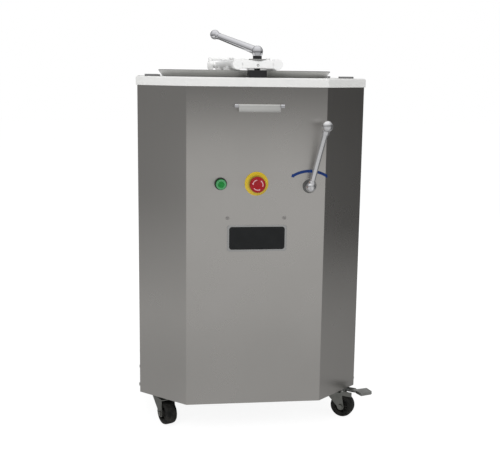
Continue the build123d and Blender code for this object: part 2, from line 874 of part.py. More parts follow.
def stop_plate():
    disc_y = front_y - stop_disc_thickness
    collar_y = disc_y - stop_collar_height
    disc = bar_y(stop_disc_radius, stop_at, disc_y, front_y)
    disc = fillet(disc.edges().group_by(Axis.Y)[0], button_round)
    disc += bar_y(stop_collar_radius, stop_at, collar_y, disc_y)
    disc += bar_y(button_body_radius, stop_at, front_y, button_end_y)
    return disc - through(bar_y, button_stem_radius + button_gap, stop_at, collar_y, button_end_y)


def stop_stem():
    front_end_y = front_y - stop_head_standoff - stop_socket
    return bar_y(button_stem_radius, stop_at, front_end_y, button_end_y - button_stem_end_gap)


def stop_head():
    back_y = front_y - stop_head_standoff
    head = bar_y(stop_head_radius, stop_at, back_y - stop_head_height, back_y)
    head = fillet(head.edges().group_by(Axis.Y)[0], stop_head_round)
    head = fillet(head.edges().group_by(Axis.Y)[-1], stop_head_back_round)
    socket_y = back_y - stop_socket - button_gap
    return head - bar_y(button_stem_radius + hinge_gap, stop_at, socket_y, back_y + cut_margin)


def switch_block(place):
    x, z = place
    half_width, half_height = contact_width / 2, contact_height / 2
    end_y = inner_front_y + contact_depth
    body = block(x - half_width, x + half_width, inner_front_y, end_y, z - half_height, z + half_height)
    body -= bar_y(button_body_radius, place, inner_front_y - cut_margin, button_end_y)
    return body - bar_y(button_stem_radius + contact_slack, place, front_y, end_y - contact_wall)


def valve_body():
    x, z = valve_at
    end_y = inner_front_y + valve_depth
    nose_y = front_y - valve_nose_height
    half_width, half_height = valve_width / 2, valve_height / 2
    body = block(x - half_width, x + half_width, inner_front_y, end_y, z - half_height, z + half_height)
    body = fillet(body.edges().filter_by(Axis.Y), valve_corner)
    nose = bar_y(valve_nose_radius, valve_at, nose_y, inner_front_y)
    body += fillet(nose.edges().group_by(Axis.Y)[0], valve_nose_round)
    return body - bar_y(spool_radius + spool_gap, valve_at, nose_y - cut_margin, end_y - valve_end_wall)


def valve_spool():
    end_y = inner_front_y + valve_depth - valve_end_wall - spool_end_gap
    return bar_y(spool_radius, valve_at, front_y - lever_hub_standoff, end_y)


def control_lever():
    x, z = valve_at
    hub_y = front_y - lever_hub_standoff
    hub = (x, hub_y, z)
    bend = moved(hub, lever_bend_offset)
    knob = moved(hub, lever_ball_offset)
    lever = ball(lever_hub_radius, hub)
    lever += bar_y(lever_neck_radius, valve_at, hub_y, front_y - valve_nose_height - lever_neck_gap)
    lever += strut(hub, bend, lever_rod_radius, lever_rod_radius)
    lever += ball(lever_rod_radius, bend)
    lever += strut(bend, knob, lever_rod_radius, lever_rod_radius)
    along = (Vector(*knob) - Vector(*bend)).normalized()
    collar_foot = Vector(*knob) - along * (lever_ball_radius + lever_collar_length)
    lever += strut(tuple(collar_foot), knob, lever_collar_radius, lever_collar_radius)
    lever += ball(lever_ball_radius, knob)
    return lever - valve_spool()


def control_box():
    half = control_box_width / 2
    top_z = front_screw_z + control_box_rise
    end_y = inner_front_y + control_box_depth
    return cut_screw_holes(block(-half, half, inner_front_y, end_y, top_z - control_box_height, top_z))


def handle_posts():
    x, y, z = handle_axis
    eye_radius = handle_knuckle_radius + handle_eye_lap
    posts = []
    for side in (-1, 1):
        near = x + side * (handle_length / 2 + button_gap)
        x0, x1 = sorted((near, near + side * handle_post_width))
        eye = bar_x(eye_radius, (y, z), x0, x1)
        eye += block(x0, x1, y, front_y, z - eye_radius, z + eye_radius)
        posts.append(eye - through(bar_x, handle_pin_radius + hinge_gap, (y, z), x0, x1))
    return posts


def front_handle():
    x, y, z = handle_axis
    half = handle_length / 2
    knuckle = bar_x(handle_knuckle_radius, (y, z), x - half, x + half)
    leaf = block(x - half, x + half, y - handle_thickness / 2, y + handle_thickness / 2, z - handle_drop, z)
    leaf = fillet(leaf.edges().filter_by(Axis.X).group_by(Axis.Z)[0], handle_edge_round)
    pin_reach = half + button_gap + handle_post_width
    return knuckle + leaf + bar_x(handle_pin_radius, (y, z), x - pin_reach, x + pin_reach)


# Lid and its hinge

def lid_dish():
    lean = lid_flare / lid_height
    inner_floor_radius = lid_bottom_radius + lean * lid_floor - lid_wall
    profile = Polyline(
        (0, 0, lid_bottom_z),
        (lid_bottom_radius, 0, lid_bottom_z),
        (lid_rim_radius, 0, lid_rim_z),
        (lid_rim_radius - lid_wall, 0, lid_rim_z),
        (inner_floor_radius, 0, lid_floor_z),
        (0, 0, lid_floor_z),
        close=True,
    )
    return revolve(make_face(profile), Axis.Z)


def lid_arm(x):
    place = (x, arm_z)
    low_z, high_z = arm_z - arm_radius, arm_z + arm_radius
    tube = bar_y(arm_radius, place, arm_front_y, arm_rear_y)
    tube = fillet(tube.edges().group_by(Axis.Y)[0], arm_round)
    tube -= bar_y(arm_radius - arm_wall, place, arm_front_y + arm_wall, arm_rear_y + cut_margin)
    tube -= through(bar_x, hinge_pin_radius + hinge_gap, (hinge_y, arm_z), x - arm_radius, x + arm_radius)
    for y in (-saddle_y, saddle_y):
        tube -= through(post, bolt_radius + bolt_gap, (x, y), low_z, high_z)
    return tube


def arm_space(x):
    """Whole round of an arm, cut out of what clasps it."""
    return through(bar_y, arm_radius, (x, arm_z), arm_front_y, arm_rear_y)


def lid_crossblock():
    place = (0, lock_y)
    y0, y1 = lock_y - block_depth / 2, lock_y + block_depth / 2
    body = block(-arm_x, arm_x, y0, y1, block_bottom_z, block_top_z)
    flange = post(lock_flange_radius, place, block_top_z, lock_flange_z)
    body += fillet(flange.edges().group_by(Axis.Z)[-1], lock_flange_round)
    for x in (-arm_x, arm_x):
        body -= arm_space(x)
    middle = body.solids().sort_by(SortBy.VOLUME)[-1]
    return middle - through(post, spindle_radius + spindle_gap, place, block_bottom_z, lock_flange_z)


def lid_saddle(place):
    x, y = place
    half = saddle_size / 2
    top_z = arm_z - arm_radius + saddle_lap
    body = block(x - half, x + half, y - half, y + half, lid_floor_z, top_z) - arm_space(x)
    return body - post(bolt_radius + bolt_gap, place, lid_floor_z + saddle_floor, top_z)


def saddle_bolt(place):
    return hex_bolt(place, arm_z + arm_radius, lid_floor_z + saddle_floor + bolt_end_gap)


def lid_stop_place():
    """Place (y, z) of the bar on which the open arms rest."""
    angle = math.radians(lid_open_angle)
    across = arm_radius + lid_stop_radius + lid_stop_gap
    y = hinge_y - math.cos(angle) * lid_stop_reach + math.sin(angle) * across
    z = arm_z + math.sin(angle) * lid_stop_reach + math.cos(angle) * across
    return y, z


def hinge_bracket():
    stop_y, stop_z = lid_stop_place()
    rear = stop_y + lid_stop_boss
    half_width = hinge_outer_x + hinge_plate_lap
    ear_radius = hinge_pin_radius + hinge_ear_wall
    bracket = block(-half_width, half_width, hinge_y - hinge_plate_front, rear, table_top_z, hinge_plate_z)
    for side in (-1, 1):
        x0, x1 = sorted((side * hinge_ear_x, side * hinge_outer_x))
        bracket += block(x0, x1, hinge_y - ear_radius, rear, hinge_plate_z, arm_z)
        bracket += bar_x(ear_radius, (hinge_y, arm_z), x0, x1)
        bracket += block(x0, x1, stop_y - lid_stop_boss, rear, hinge_plate_z, stop_z)
        bracket += bar_x(lid_stop_boss, (stop_y, stop_z), x0, x1)
    bracket += bar_x(lid_stop_radius, (stop_y, stop_z), -hinge_ear_x, hinge_ear_x)
    for side in (-1, 1):
        x0, x1 = sorted((side * hinge_ear_x, side * hinge_outer_x))
        bracket -= through(bar_x, hinge_pin_radius, (hinge_y, arm_z), x0, x1)
    for place in hinge_screw_places:
        bracket -= through(post, bolt_radius + bolt_gap, place, table_top_z, hinge_plate_z)
    return bracket


def hinge_screws():
    return [hex_bolt(place, hinge_plate_z, table_top_z) for place in hinge_screw_places]


def hinge_pin():
    axis = (hinge_y, arm_z)
    pin = bar_x(hinge_pin_radius, axis, -hinge_outer_x, hinge_outer_x)
    for side in (-1, 1):
        x0, x1 = sorted((side * hinge_outer_x, side * (hinge_outer_x + hinge_pin_head)))
        pin += bar_x(hinge_pin_radius + hinge_pin_head_lap, axis, x0, x1)
    return pin


# Lid lock

def lock_spindle():
    place = (0, lock_y)
    half_length, half_width = tee_length / 2, tee_width / 2
    collar_z = lock_flange_z + spindle_collar_gap
    shaft = post(spindle_radius, place, tee_z, lock_hub_z)
    shaft += post(spindle_radius + spindle_collar_wall, place, collar_z, lock_hub_z - spindle_collar_drop)
    y0, y1 = lock_y - half_width, lock_y + half_width
    return shaft + block(-half_length, half_length, y0, y1, tee_z, tee_z + tee_height)


def lock_lever():
    hub = (0, lock_y, lock_hub_z)
    knob = moved(hub, lock_ball_offset)
    lever = ball(lock_hub_radius, hub)
    lever += strut(hub, knob, *lock_arm_radii)
    lever += ball(lock_ball_radius, knob)
    return lever - lock_spindle()


def keeper():
    place = (0, lock_y)
    half_width, half_depth = keeper_width / 2, keeper_depth / 2
    top_z = table_top_z + keeper_height
    cavity_z = top_z - keeper_lip
    slot_x = tee_length / 2 + keeper_clearance
    slot_y = tee_width / 2 + keeper_clearance
    body = block(-half_width, half_width, lock_y - half_depth, lock_y + half_depth, table_top_z, top_z)
    body = fillet(body.edges().filter_by(Axis.Z), keeper_round)
    body -= post(slot_x, place, tee_z - keeper_clearance, cavity_z)
    slot_z0, slot_z1 = cavity_z - cut_margin, top_z + cut_margin
    body -= block(-slot_x, slot_x, lock_y - slot_y, lock_y + slot_y, slot_z0, slot_z1)
    return body - through(post, spindle_radius + keeper_clearance, place, cavity_z, top_z)


# Casters, made with the kingpin on Z and the trail along X

axle_place = (trail, wheel_radius)
pedal_place = (pedal_pivot_x, pedal_pivot_z)


def caster_head():
    low_z = base_z - caster_flange_thickness
    pin_z = fork_crown_z - bearing_gap
    head = post(caster_flange_radius, (0, 0), low_z, base_z)
    head += post(stem_radius, (0, 0), base_z, base_top_z)
    head += post(kingpin_radius, (0, 0), pin_z, low_z)
    return head + post(kingpin_radius + kingpin_head_lap, (0, 0), pin_z - kingpin_head_thickness, pin_z)


def fork_leg(y0, y1):
    """Cheek from the crown down to the axle's boss."""
    crown_x0 = fork_crown_corner - fork_dome_radius
    crown_x1 = pedal_pivot_x + pedal_knuckle_radius - fork_crown_corner
    profile = [
        (crown_x0, fork_crown_top_z),
        (crown_x1, fork_crown_top_z),
        (trail + fork_boss_radius, wheel_radius),
        (trail - fork_boss_radius, wheel_radius),
    ]
    face = make_face(Polyline(*[(x, y0, z) for x, z in profile], close=True))
    return extrude(face, y1 - y0, dir=(0, 1, 0)) + bar_y(fork_boss_radius, axle_place, y0, y1)


def pedal_ear(y0, y1):
    x0, x1 = pedal_pivot_x - pedal_ear_foot, pedal_pivot_x + pedal_ear_reach
    ear = block(x0, x1, y0, y1, fork_crown_z - pedal_ear_drop, pedal_pivot_z)
    ear += bar_y(pedal_knuckle_radius, pedal_place, y0, y1)
    return ear - through(bar_y, pedal_pin_radius + pedal_pin_gap, pedal_place, y0, y1)


def caster_fork(braked):
    crown_x1 = pedal_pivot_x + pedal_knuckle_radius
    fork = block(-fork_dome_radius, crown_x1, -fork_outer, fork_outer, fork_crown_z, fork_crown_top_z)
    fork = fillet(fork.edges().filter_by(Axis.Z), fork_crown_corner)
    dome = post(fork_dome_radius, (0, 0), fork_crown_top_z, dome_top_z)
    fork += fillet(dome.edges().group_by(Axis.Z)[-1], fork_dome_round)
    for side in (-1, 1):
        y0, y1 = sorted((side * fork_inner, side * fork_outer))
        fork += fork_leg(y0, y1)
        if braked:
            fork += pedal_ear(y0, y1)
    fork -= through(post, kingpin_radius + kingpin_gap, (0, 0), fork_crown_z, dome_top_z)
    return fork - through(bar_y, axle_radius, axle_place, -fork_outer, fork_outer)


def caster_axle():
    reach = fork_outer + axle_nut_thickness
    axle = bar_y(axle_radius, axle_place, -reach, reach)
    nut = extrude(RegularPolygon(axle_nut_radius, 6), axle_nut_thickness, dir=(0, 0, 1))
    for y in (-reach, fork_outer):
        axle += Pos(trail, y, wheel_radius) * Rot(-90, 0, 0) * nut
    return axle


def caster_wheel():
    """Tyre and hub."""
    half = wheel_width / 2
    boss_half = half + hub_boss_proud
    tyre = fillet(bar_y(wheel_radius, axle_place, -half, half).edges(), tyre_round)
    tyre -= through(bar_y, wheel_hub_radius, axle_place, -half, half)
    hub = bar_y(wheel_hub_radius, axle_place, -half + hub_recess, half - hub_recess)
    hub += bar_y(hub_boss_radius, axle_place, -boss_half, boss_half)
    hub -= through(bar_y, axle_radius + axle_gap, axle_place, -boss_half, boss_half)
    return [tyre, hub]


def pedal_outline(start):
    """Closed outline of the pedal, from a distance out from its pivot to its tip."""
    edge = [(pedal_pivot_x + along, half) for along, half in pedal_half_widths if along >= start]
    return edge + [(x, -half) for x, half in reversed(edge)]


def caster_pedal():
    low_z, high_z = pedal_pivot_z - pedal_sheet / 2, pedal_pivot_z + pedal_sheet / 2
    pad_z = low_z - pedal_pad_depth
    pedal = prism(pedal_outline(0), low_z, high_z)
    pad_face = make_face(Polyline(*pedal_outline(pedal_pad_start), close=True))
    pad = extrude(Pos(0, 0, pad_z) * pad_face, pedal_pad_depth, dir=(0, 0, 1))
    hollow_face = offset(pad_face, -pedal_pad_wall)
    pedal += pad - extrude(Pos(0, 0, pad_z - cut_margin) * hollow_face, pedal_pad_depth + cut_margin, dir=(0, 0, 1))
    knuckle_half = fork_inner - pedal_knuckle_gap
    pedal += bar_y(pedal_knuckle_radius, pedal_place, -knuckle_half, knuckle_half)
    pedal += bar_y(pedal_pin_radius, pedal_place, -fork_outer, fork_outer)
    turn = Pos(pedal_pivot_x, 0, pedal_pivot_z) * Rot(0, pedal_slope, 0) * Pos(-pedal_pivot_x, 0, -pedal_pivot_z)
    return turn * pedal


# Nodes

nodes = {
    "base_plate": [base_plate()],
    "tie_columns": [tie_column(place) for place in column_places],
    "column_nuts": [
        column_nut(place, seat_z, up)
        for place in column_places
        for seat_z, up in ((table_top_z, True), (base_z, False))
    ],
    "table_top": [table_top()],
    "dough_bin": [dough_bin()],
    "front_panel": [front_panel()],
    "right_panel": [side_panel()],
    "left_panel": [mirror(side_panel(), about=Plane.YZ)],
    "rear_panel": [rear_panel()],
    "panel_screws": panel_screws(),
    "nameplate": [nameplate()],
    "handle_posts": handle_posts(),
    "start_bezel": [start_bezel()],
    "stop_plate": [stop_plate()],
    "switch_blocks": [switch_block(place) for place in (start_at, stop_at)],
    "valve_body": [valve_body()],
    "main_cylinder": [main_cylinder()],
    "knife_cylinders": knife_cylinders(),
    "oil_tank": [oil_tank()],
    "pump": [pump()],
    "motor": [motor()],
    "hydraulic_hoses": hydraulic_hoses(),
    "control_box": [control_box()],
    "cable_gland": [cable_gland()],
    "keeper": [keeper()],
    "hinge_bracket": [hinge_bracket()],
    "hinge_screws": hinge_screws(),
    "hinge_pin": [hinge_pin()],
    "lid_dish": [lid_dish()],
    "lid_arms": [lid_arm(x) for x in (-arm_x, arm_x)],
    "lid_crossblock": [lid_crossblock()],
    "lid_saddles": [lid_saddle(place) for place in saddle_places],
    "saddle_bolts": [saddle_bolt(place) for place in saddle_places],
    "lock_lever": [lock_lever()],
    "lock_spindle": [lock_spindle()],
    "front_handle": [front_handle()],
    "control_lever": [control_lever()],
    "valve_spool": [valve_spool()],
    "start_button": [start_button()],
    "stop_stem": [stop_stem()],
    "stop_head": [stop_head()],
    "press_ram": [press_ram()],
    "press_carrier": [press_carrier()],
    "press_rods": press_rods(),
    "press_pads": press_pads(),
    "knife_rods": knife_rods(),
    "knife_carrier": [knife_carrier()],
    "knife_blades": [knife_blades()],
    "motor_shaft": [motor_shaft()],
    "caster_heads": [Pos(x, y, 0) * caster_head() for x, y in caster_places.values()],
}
for name, (x, y) in caster_places.items():
    seat = Pos(x, y, 0) * Rot(0, 0, caster_angles[name])
    braked = name in braked_casters
    nodes[f"{name}_fork"] = [seat * caster_fork(braked), seat * caster_axle()]
    nodes[f"{name}_wheel"] = [seat * piece for piece in caster_wheel()]
    if braked:
        nodes[f"{name}_pedal"] = [seat * caster_pedal()]

os.makedirs("parts", exist_ok=True)
for name, pieces in nodes.items():
    solids = [solid for piece in pieces for solid in piece.solids()]
    shape = solids[0] if len(solids) == 1 else Compound(solids)
    export_step(shape, f"parts/{name}.step")
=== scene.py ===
# %% [markdown]
# A hydraulic dough divider: a steel cabinet on casters, with a round bin under a lid that a lever locks down.
# The CAD model gives every place and size. This lesson gives it finishes, and models again the pieces whose
# shape needs more than a CAD solid shows. Nothing else is read from disk.

import json
import math

import bmesh
import bpy
from mathutils import Matrix, Vector


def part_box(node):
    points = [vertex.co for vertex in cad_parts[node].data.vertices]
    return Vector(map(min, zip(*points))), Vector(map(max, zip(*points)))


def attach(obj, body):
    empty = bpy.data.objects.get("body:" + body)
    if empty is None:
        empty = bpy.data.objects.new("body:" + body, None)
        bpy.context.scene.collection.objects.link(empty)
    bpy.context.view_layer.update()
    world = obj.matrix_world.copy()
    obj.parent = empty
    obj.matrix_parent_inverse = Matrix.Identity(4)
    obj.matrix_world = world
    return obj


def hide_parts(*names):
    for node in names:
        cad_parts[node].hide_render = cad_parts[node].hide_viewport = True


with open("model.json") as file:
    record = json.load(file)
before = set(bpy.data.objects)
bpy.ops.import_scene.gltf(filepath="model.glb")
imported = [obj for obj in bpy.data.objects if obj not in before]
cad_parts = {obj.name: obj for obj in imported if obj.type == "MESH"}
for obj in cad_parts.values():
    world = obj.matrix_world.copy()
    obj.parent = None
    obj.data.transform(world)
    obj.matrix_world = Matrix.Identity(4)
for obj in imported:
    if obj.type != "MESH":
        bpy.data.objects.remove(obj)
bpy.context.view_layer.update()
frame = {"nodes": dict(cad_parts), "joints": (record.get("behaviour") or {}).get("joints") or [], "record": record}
nodes = frame["nodes"]
joints = {joint["name"]: joint for joint in frame["joints"]}
scene = bpy.context.scene
mm = 0.001

# %% [markdown]
# The camera stands where the photographer stood: a little left of the machine, level with its table, looking
# slightly down. A matrix built from one place and three turns says that more plainly than Euler angles.

# %% Camera
camera_place = Vector((-0.2773, -2.3905, 0.9315))
camera_yaw = math.radians(7.13)
camera_pitch = math.radians(10.05)
camera_roll = math.radians(-0.77)
lens_mm = 61.37
sensor_mm = 36.0

camera_data = bpy.data.cameras.new("photo_camera")
camera_data.sensor_width = sensor_mm
camera_data.lens = lens_mm
camera = bpy.data.objects.new("photo_camera", camera_data)
scene.collection.objects.link(camera)
camera.matrix_world = (
    Matrix.Translation(camera_place)
    @ Matrix.Rotation(-camera_yaw, 4, "Z")
    @ Matrix.Rotation(math.pi / 2 - camera_pitch, 4, "X")
    @ Matrix.Rotation(-camera_roll, 4, "Z")
)
scene.camera = camera
scene.view_settings.view_transform = "Standard"
print("camera at", tuple(camera.matrix_world.translation))

# %% [markdown]
# Node trees take many lines when each node is set by hand. Three small helpers make a node with its sockets
# filled, do sums, and mix colours, so that each finish below reads like its recipe.

# %% Node helpers
def node(tree, kind, sockets=None, **settings):
    """A node whose sockets are filled with values or linked to other sockets."""
    made = tree.nodes.new(f"ShaderNode{kind}")
    for key, value in settings.items():
        setattr(made, key, value)
    for key, value in (sockets or {}).items():
        if isinstance(value, bpy.types.NodeSocket):
            tree.links.new(value, made.inputs[key])
        else:
            made.inputs[key].default_value = value
    return made


def calc(tree, operation, a, b=0.0, clamp=False):
    return node(tree, "Math", {0: a, 1: b}, operation=operation, use_clamp=clamp).outputs[0]


def tint(tree, amount, a, b):
    """Colour a turning into colour b by an amount."""
    made = node(tree, "Mix", data_type="RGBA")
    factor_in, a_in, b_in = made.inputs[0], made.inputs[6], made.inputs[7]
    for value, socket in ((amount, factor_in), (a, a_in), (b, b_in)):
        if isinstance(value, bpy.types.NodeSocket):
            tree.links.new(value, socket)
        else:
            socket.default_value = value
    return made.outputs[2]


def span(tree, value, start, end, low=0.0, high=1.0):
    """A value spread from the range start to end onto low to high, and held there."""
    sockets = {"Value": value, "From Min": start, "From Max": end, "To Min": low, "To Max": high}
    return node(tree, "MapRange", sockets).outputs["Result"]


def rgb(r, g, b):
    return (r, g, b, 1.0)


print("node helpers ready")

# %% [markdown]
# The room is white. The world shows white to the camera and to mirrors, and lights matt surfaces more softly,
# so that pale paint keeps its tone. The floor is white in the same way, with a share of plain matt white left
# in it: that share is what carries the machine's soft shadow.

# %% World and floor
white = rgb(1.0, 1.0, 1.0)
ambient = 0.52
floor_glow = 0.80
floor_light = 1.13
floor_half = 14.0


def shown(tree):
    """1 for rays from the eye, a mirror or glass, 0 for light that falls on matt surfaces."""
    path = node(tree, "LightPath").outputs
    seen = calc(tree, "ADD", path["Is Camera Ray"], path["Is Glossy Ray"])
    return calc(tree, "ADD", seen, path["Is Transmission Ray"], clamp=True)


world = bpy.data.worlds.new("white_room")
scene.world = world
world.use_nodes = True
room = world.node_tree
room.nodes.clear()
room_strength = span(room, shown(room), 0.0, 1.0, ambient, 1.0)
room_light = node(room, "Background", {"Color": white, "Strength": room_strength})
node(room, "OutputWorld", {"Surface": room_light.outputs[0]})


def new_material(name):
    made = bpy.data.materials.new(name)
    made.use_nodes = True
    made.node_tree.nodes.clear()
    return made, made.node_tree


floor_finish, tree = new_material("white_floor")
matt = node(tree, "BsdfDiffuse", {"Color": rgb(0.95, 0.95, 0.95)})
glow = node(tree, "Emission", {"Color": white, "Strength": floor_light})
share = calc(tree, "MULTIPLY", shown(tree), floor_glow)
mixed = node(tree, "MixShader", {0: share, 1: matt.outputs[0], 2: glow.outputs[0]})
node(tree, "OutputMaterial", {"Surface": mixed.outputs[0]})


def stage_object(name, bm, finish):
    """An object of the studio, which is not part of the machine."""
    mesh = bpy.data.meshes.new(name)
    bm.to_mesh(mesh)
    bm.free()
    mesh.materials.append(finish)
    made = bpy.data.objects.new(name, mesh)
    scene.collection.objects.link(made)
    return made


bm = bmesh.new()
bmesh.ops.create_grid(bm, x_segments=1, y_segments=1, size=floor_half)
stage_object("floor", bm, floor_finish)
print("floor", 2 * floor_half, "m wide")

# %% [markdown]
# Brushed steel has no look of its own: it shows what stands round it. A photographer puts such a machine in a
# tent of grey cards, out of the picture, and so does this scene. The tent is a ring with a floor and a roof
# that only mirrors can see. Its greys change with height and with the side: the front is dark at table height
# and pale below, the right side is darkest.

# %% Grey tent
tent_radius = 0.85
tent_top = 2.2
tent_floor_z = 0.0015
tent_steps = 96
tent_front = ((0.0, 0.47), (0.20, 0.54), (0.45, 0.585), (0.65, 0.585), (0.75, 0.49), (0.85, 0.29),
              (0.91, 0.19), (0.97, 0.24), (1.04, 0.50), (1.25, 0.75), (2.2, 0.85))
tent_left = ((0.0, 0.40), (0.16, 0.45), (0.29, 0.39), (0.41, 0.33), (0.54, 0.26), (0.97, 0.25),
             (1.04, 0.45), (1.3, 0.65), (2.2, 0.85))
tent_right = ((0.0, 0.30), (0.14, 0.27), (0.26, 0.22), (0.34, 0.16), (0.44, 0.10), (0.97, 0.075),
              (1.04, 0.28), (1.3, 0.50), (2.2, 0.85))
tent_rear = ((0.0, 0.50), (0.40, 0.52), (0.75, 0.42), (0.94, 0.25), (1.10, 0.20), (1.3, 0.15), (2.2, 0.12))
side_blend = 0.2
front_edge, front_full = 1.05, 0.62
rear_edge, rear_full = 1.62, 2.0


def new_verts(elements):
    """The vertices among the elements that an operator made."""
    return [item for item in elements if isinstance(item, bmesh.types.BMVert)]


def height_tones(tree, height, tones):
    """A grey that follows a list of heights and levels."""
    ramp = node(tree, "ValToRGB", {"Fac": calc(tree, "DIVIDE", height, tent_top)})
    stops = ramp.color_ramp.elements
    stops[0].position, stops[1].position = 0.0, 1.0
    for place, level in tones:
        stop = stops.new(place / tent_top)
        stop.color = rgb(level, level, level)
    stops.remove(stops[0])
    stops.remove(stops[-1])
    return ramp.outputs["Color"]


tent_finish, tree = new_material("grey_tent")
place = node(tree, "SeparateXYZ", {0: node(tree, "TexCoord").outputs["Object"]}).outputs
around = calc(tree, "ARCTAN2", place["X"], calc(tree, "MULTIPLY", place["Y"], -1.0))
sideways = calc(tree, "ABSOLUTE", around)
to_right = span(tree, around, -side_blend, side_blend)
greys = height_tones(tree, place["Z"], tent_left)
greys = tint(tree, to_right, greys, height_tones(tree, place["Z"], tent_right))
fore = span(tree, sideways, front_edge, front_full)
greys = tint(tree, fore, greys, height_tones(tree, place["Z"], tent_front))
aft = span(tree, sideways, rear_edge, rear_full)
greys = tint(tree, aft, greys, height_tones(tree, place["Z"], tent_rear))
tent_light = node(tree, "Emission", {"Color": greys, "Strength": 1.0})
node(tree, "OutputMaterial", {"Surface": tent_light.outputs[0]})

bm = bmesh.new()
bmesh.ops.create_circle(bm, segments=tent_steps, radius=tent_radius, cap_ends=True)
bmesh.ops.translate(bm, verts=bm.verts, vec=(0, 0, tent_floor_z))
grown = bmesh.ops.extrude_face_region(bm, geom=bm.faces[:])["geom"]
bmesh.ops.translate(bm, verts=new_verts(grown), vec=(0, 0, tent_top - tent_floor_z))
floor_sheet = bmesh.ops.create_circle(bm, segments=tent_steps, radius=tent_radius, cap_ends=True)["verts"]
bmesh.ops.translate(bm, verts=floor_sheet, vec=(0, 0, tent_floor_z))
bmesh.ops.remove_doubles(bm, verts=bm.verts, dist=tent_floor_z / 10)
tent = stage_object("grey_tent", bm, tent_finish)
tent.visible_camera = False
tent.visible_diffuse = False
tent.visible_transmission = False
tent.visible_shadow = False
print("tent", tent_radius, "m round the bin's axis")

# %% [markdown]
# Two big soft lamps light the machine from the front: a key on the left, above the camera, and a weaker fill
# on the right. A third hangs over the table and a fourth lights the back. Mirrors see the tent, not the
# lamps. Their power keeps a white surface just under full white.

# %% Lamps
lamps = {
    "key_lamp": ((-1.5, -2.4, 2.5), 1.8, 46.0),
    "fill_lamp": ((2.2, -1.8, 1.9), 1.6, 14.0),
    "top_lamp": ((0.2, 0.5, 2.9), 1.6, 16.0),
    "rear_lamp": ((0.8, 2.8, 2.0), 1.8, 24.0),
}
lamp_aim = Vector((0, 0, 0.6))
for name, (lamp_place, lamp_size, lamp_power) in lamps.items():
    lamp_data = bpy.data.lights.new(name, "AREA")
    lamp_data.size = lamp_size
    lamp_data.energy = lamp_power
    lamp = bpy.data.objects.new(name, lamp_data)
    lamp.location = lamp_place
    lamp.visible_glossy = False
    lamp.rotation_euler = (lamp_aim - Vector(lamp_place)).to_track_quat("-Z", "Y").to_euler()
    scene.collection.objects.link(lamp)
print("lamps", len(lamps))

# %% [markdown]
# Several finishes share the same effects, so each effect is a node group with its own sockets. The first
# gives soft edges: a Bevel node rounds the shading at a corner, and where the rounded normal leaves the true
# one the corner is being worn. Groups give out only masks, values and normals; the shader stays in the
# material.

# %% Soft edges
def new_group(name, inputs, outputs):
    made = bpy.data.node_groups.new(name, "ShaderNodeTree")
    for socket, value in inputs.items():
        made.interface.new_socket(socket, in_out="INPUT", socket_type="NodeSocketFloat").default_value = value
    for socket, kind in outputs.items():
        made.interface.new_socket(socket, in_out="OUTPUT", socket_type=f"NodeSocket{kind}")
    return made, made.nodes.new("NodeGroupInput").outputs, made.nodes.new("NodeGroupOutput").inputs


def object_place(tree):
    return node(tree, "TexCoord").outputs["Object"]


def noise(tree, vector, scale, detail=3.0, roughness=0.5):
    sockets = {"Vector": vector, "Scale": scale, "Detail": detail, "Roughness": roughness}
    return node(tree, "TexNoise", sockets).outputs[0]


edge_outputs = {"Normal": "Vector", "Wear": "Float"}
soft_edge, given, out = new_group("soft_edge", {"Radius": 0.001, "Break": 160.0}, edge_outputs)
rounded = node(soft_edge, "Bevel", {"Radius": given["Radius"]}, samples=6).outputs[0]
flat = node(soft_edge, "NewGeometry").outputs["Normal"]
agreement = node(soft_edge, "VectorMath", {0: rounded, 1: flat}, operation="DOT_PRODUCT").outputs["Value"]
corner = span(soft_edge, agreement, 0.985, 0.86)
broken = span(soft_edge, noise(soft_edge, object_place(soft_edge), given["Break"]), 0.40, 0.64)
soft_edge.links.new(rounded, out["Normal"])
soft_edge.links.new(calc(soft_edge, "MULTIPLY", corner, broken), out["Wear"])
print("effect", soft_edge.name)

# %% [markdown]
# The next groups are the surfaces themselves. Patches are slow clouds that keep a surface from looking new. A
# grain is fine noise for the bump, with broader noise for the tone: even for the skin of a paint, drawn out
# upwards for brushed sheet, and wound round the axis for turned metal. The fan is a painted reflection: a dark
# sweep painted onto turned metal where it faces front or back. Dust settles low down.

# %% Surface effects
patches, given, out = new_group("patches", {"Scale": 8.0}, {"Mask": "Float"})
cloud = noise(patches, object_place(patches), given["Scale"], 5.0, 0.6)
patches.links.new(span(patches, cloud, 0.34, 0.68), out["Mask"])

grain_outputs = {"Height": "Float", "Tone": "Float"}


def add_grain(tree, given, out, vector, tone_share, tone_detail=2.0):
    """Fine noise for the bump and broader noise for the tone, on the same coordinates."""
    tree.links.new(noise(tree, vector, given["Scale"], 2.0), out["Height"])
    broad = calc(tree, "MULTIPLY", given["Scale"], tone_share)
    tree.links.new(noise(tree, vector, broad, tone_detail), out["Tone"])


skin, given, out = new_group("paint_skin", {"Scale": 420.0}, grain_outputs)
add_grain(skin, given, out, object_place(skin), 0.12)

brushed, given, out = new_group("brushed", {"Scale": 1100.0, "Stretch": 60.0}, grain_outputs)
across = node(brushed, "SeparateXYZ", {0: object_place(brushed)}).outputs
drawn = calc(brushed, "DIVIDE", across["Z"], given["Stretch"])
lines = node(brushed, "CombineXYZ", {"X": across["X"], "Y": across["Y"], "Z": drawn}).outputs[0]
add_grain(brushed, given, out, lines, 0.06, 3.0)

rings, given, out = new_group("turned_rings", {"Scale": 900.0}, grain_outputs)
axis = node(rings, "SeparateXYZ", {0: object_place(rings)}).outputs
level = node(rings, "CombineXYZ", {"X": axis["X"], "Y": axis["Y"]}).outputs[0]
radius = node(rings, "VectorMath", {0: level}, operation="LENGTH").outputs["Value"]
turn = node(rings, "CombineXYZ", {"X": radius, "Y": axis["Z"]}).outputs[0]
add_grain(rings, given, out, turn, 0.08)
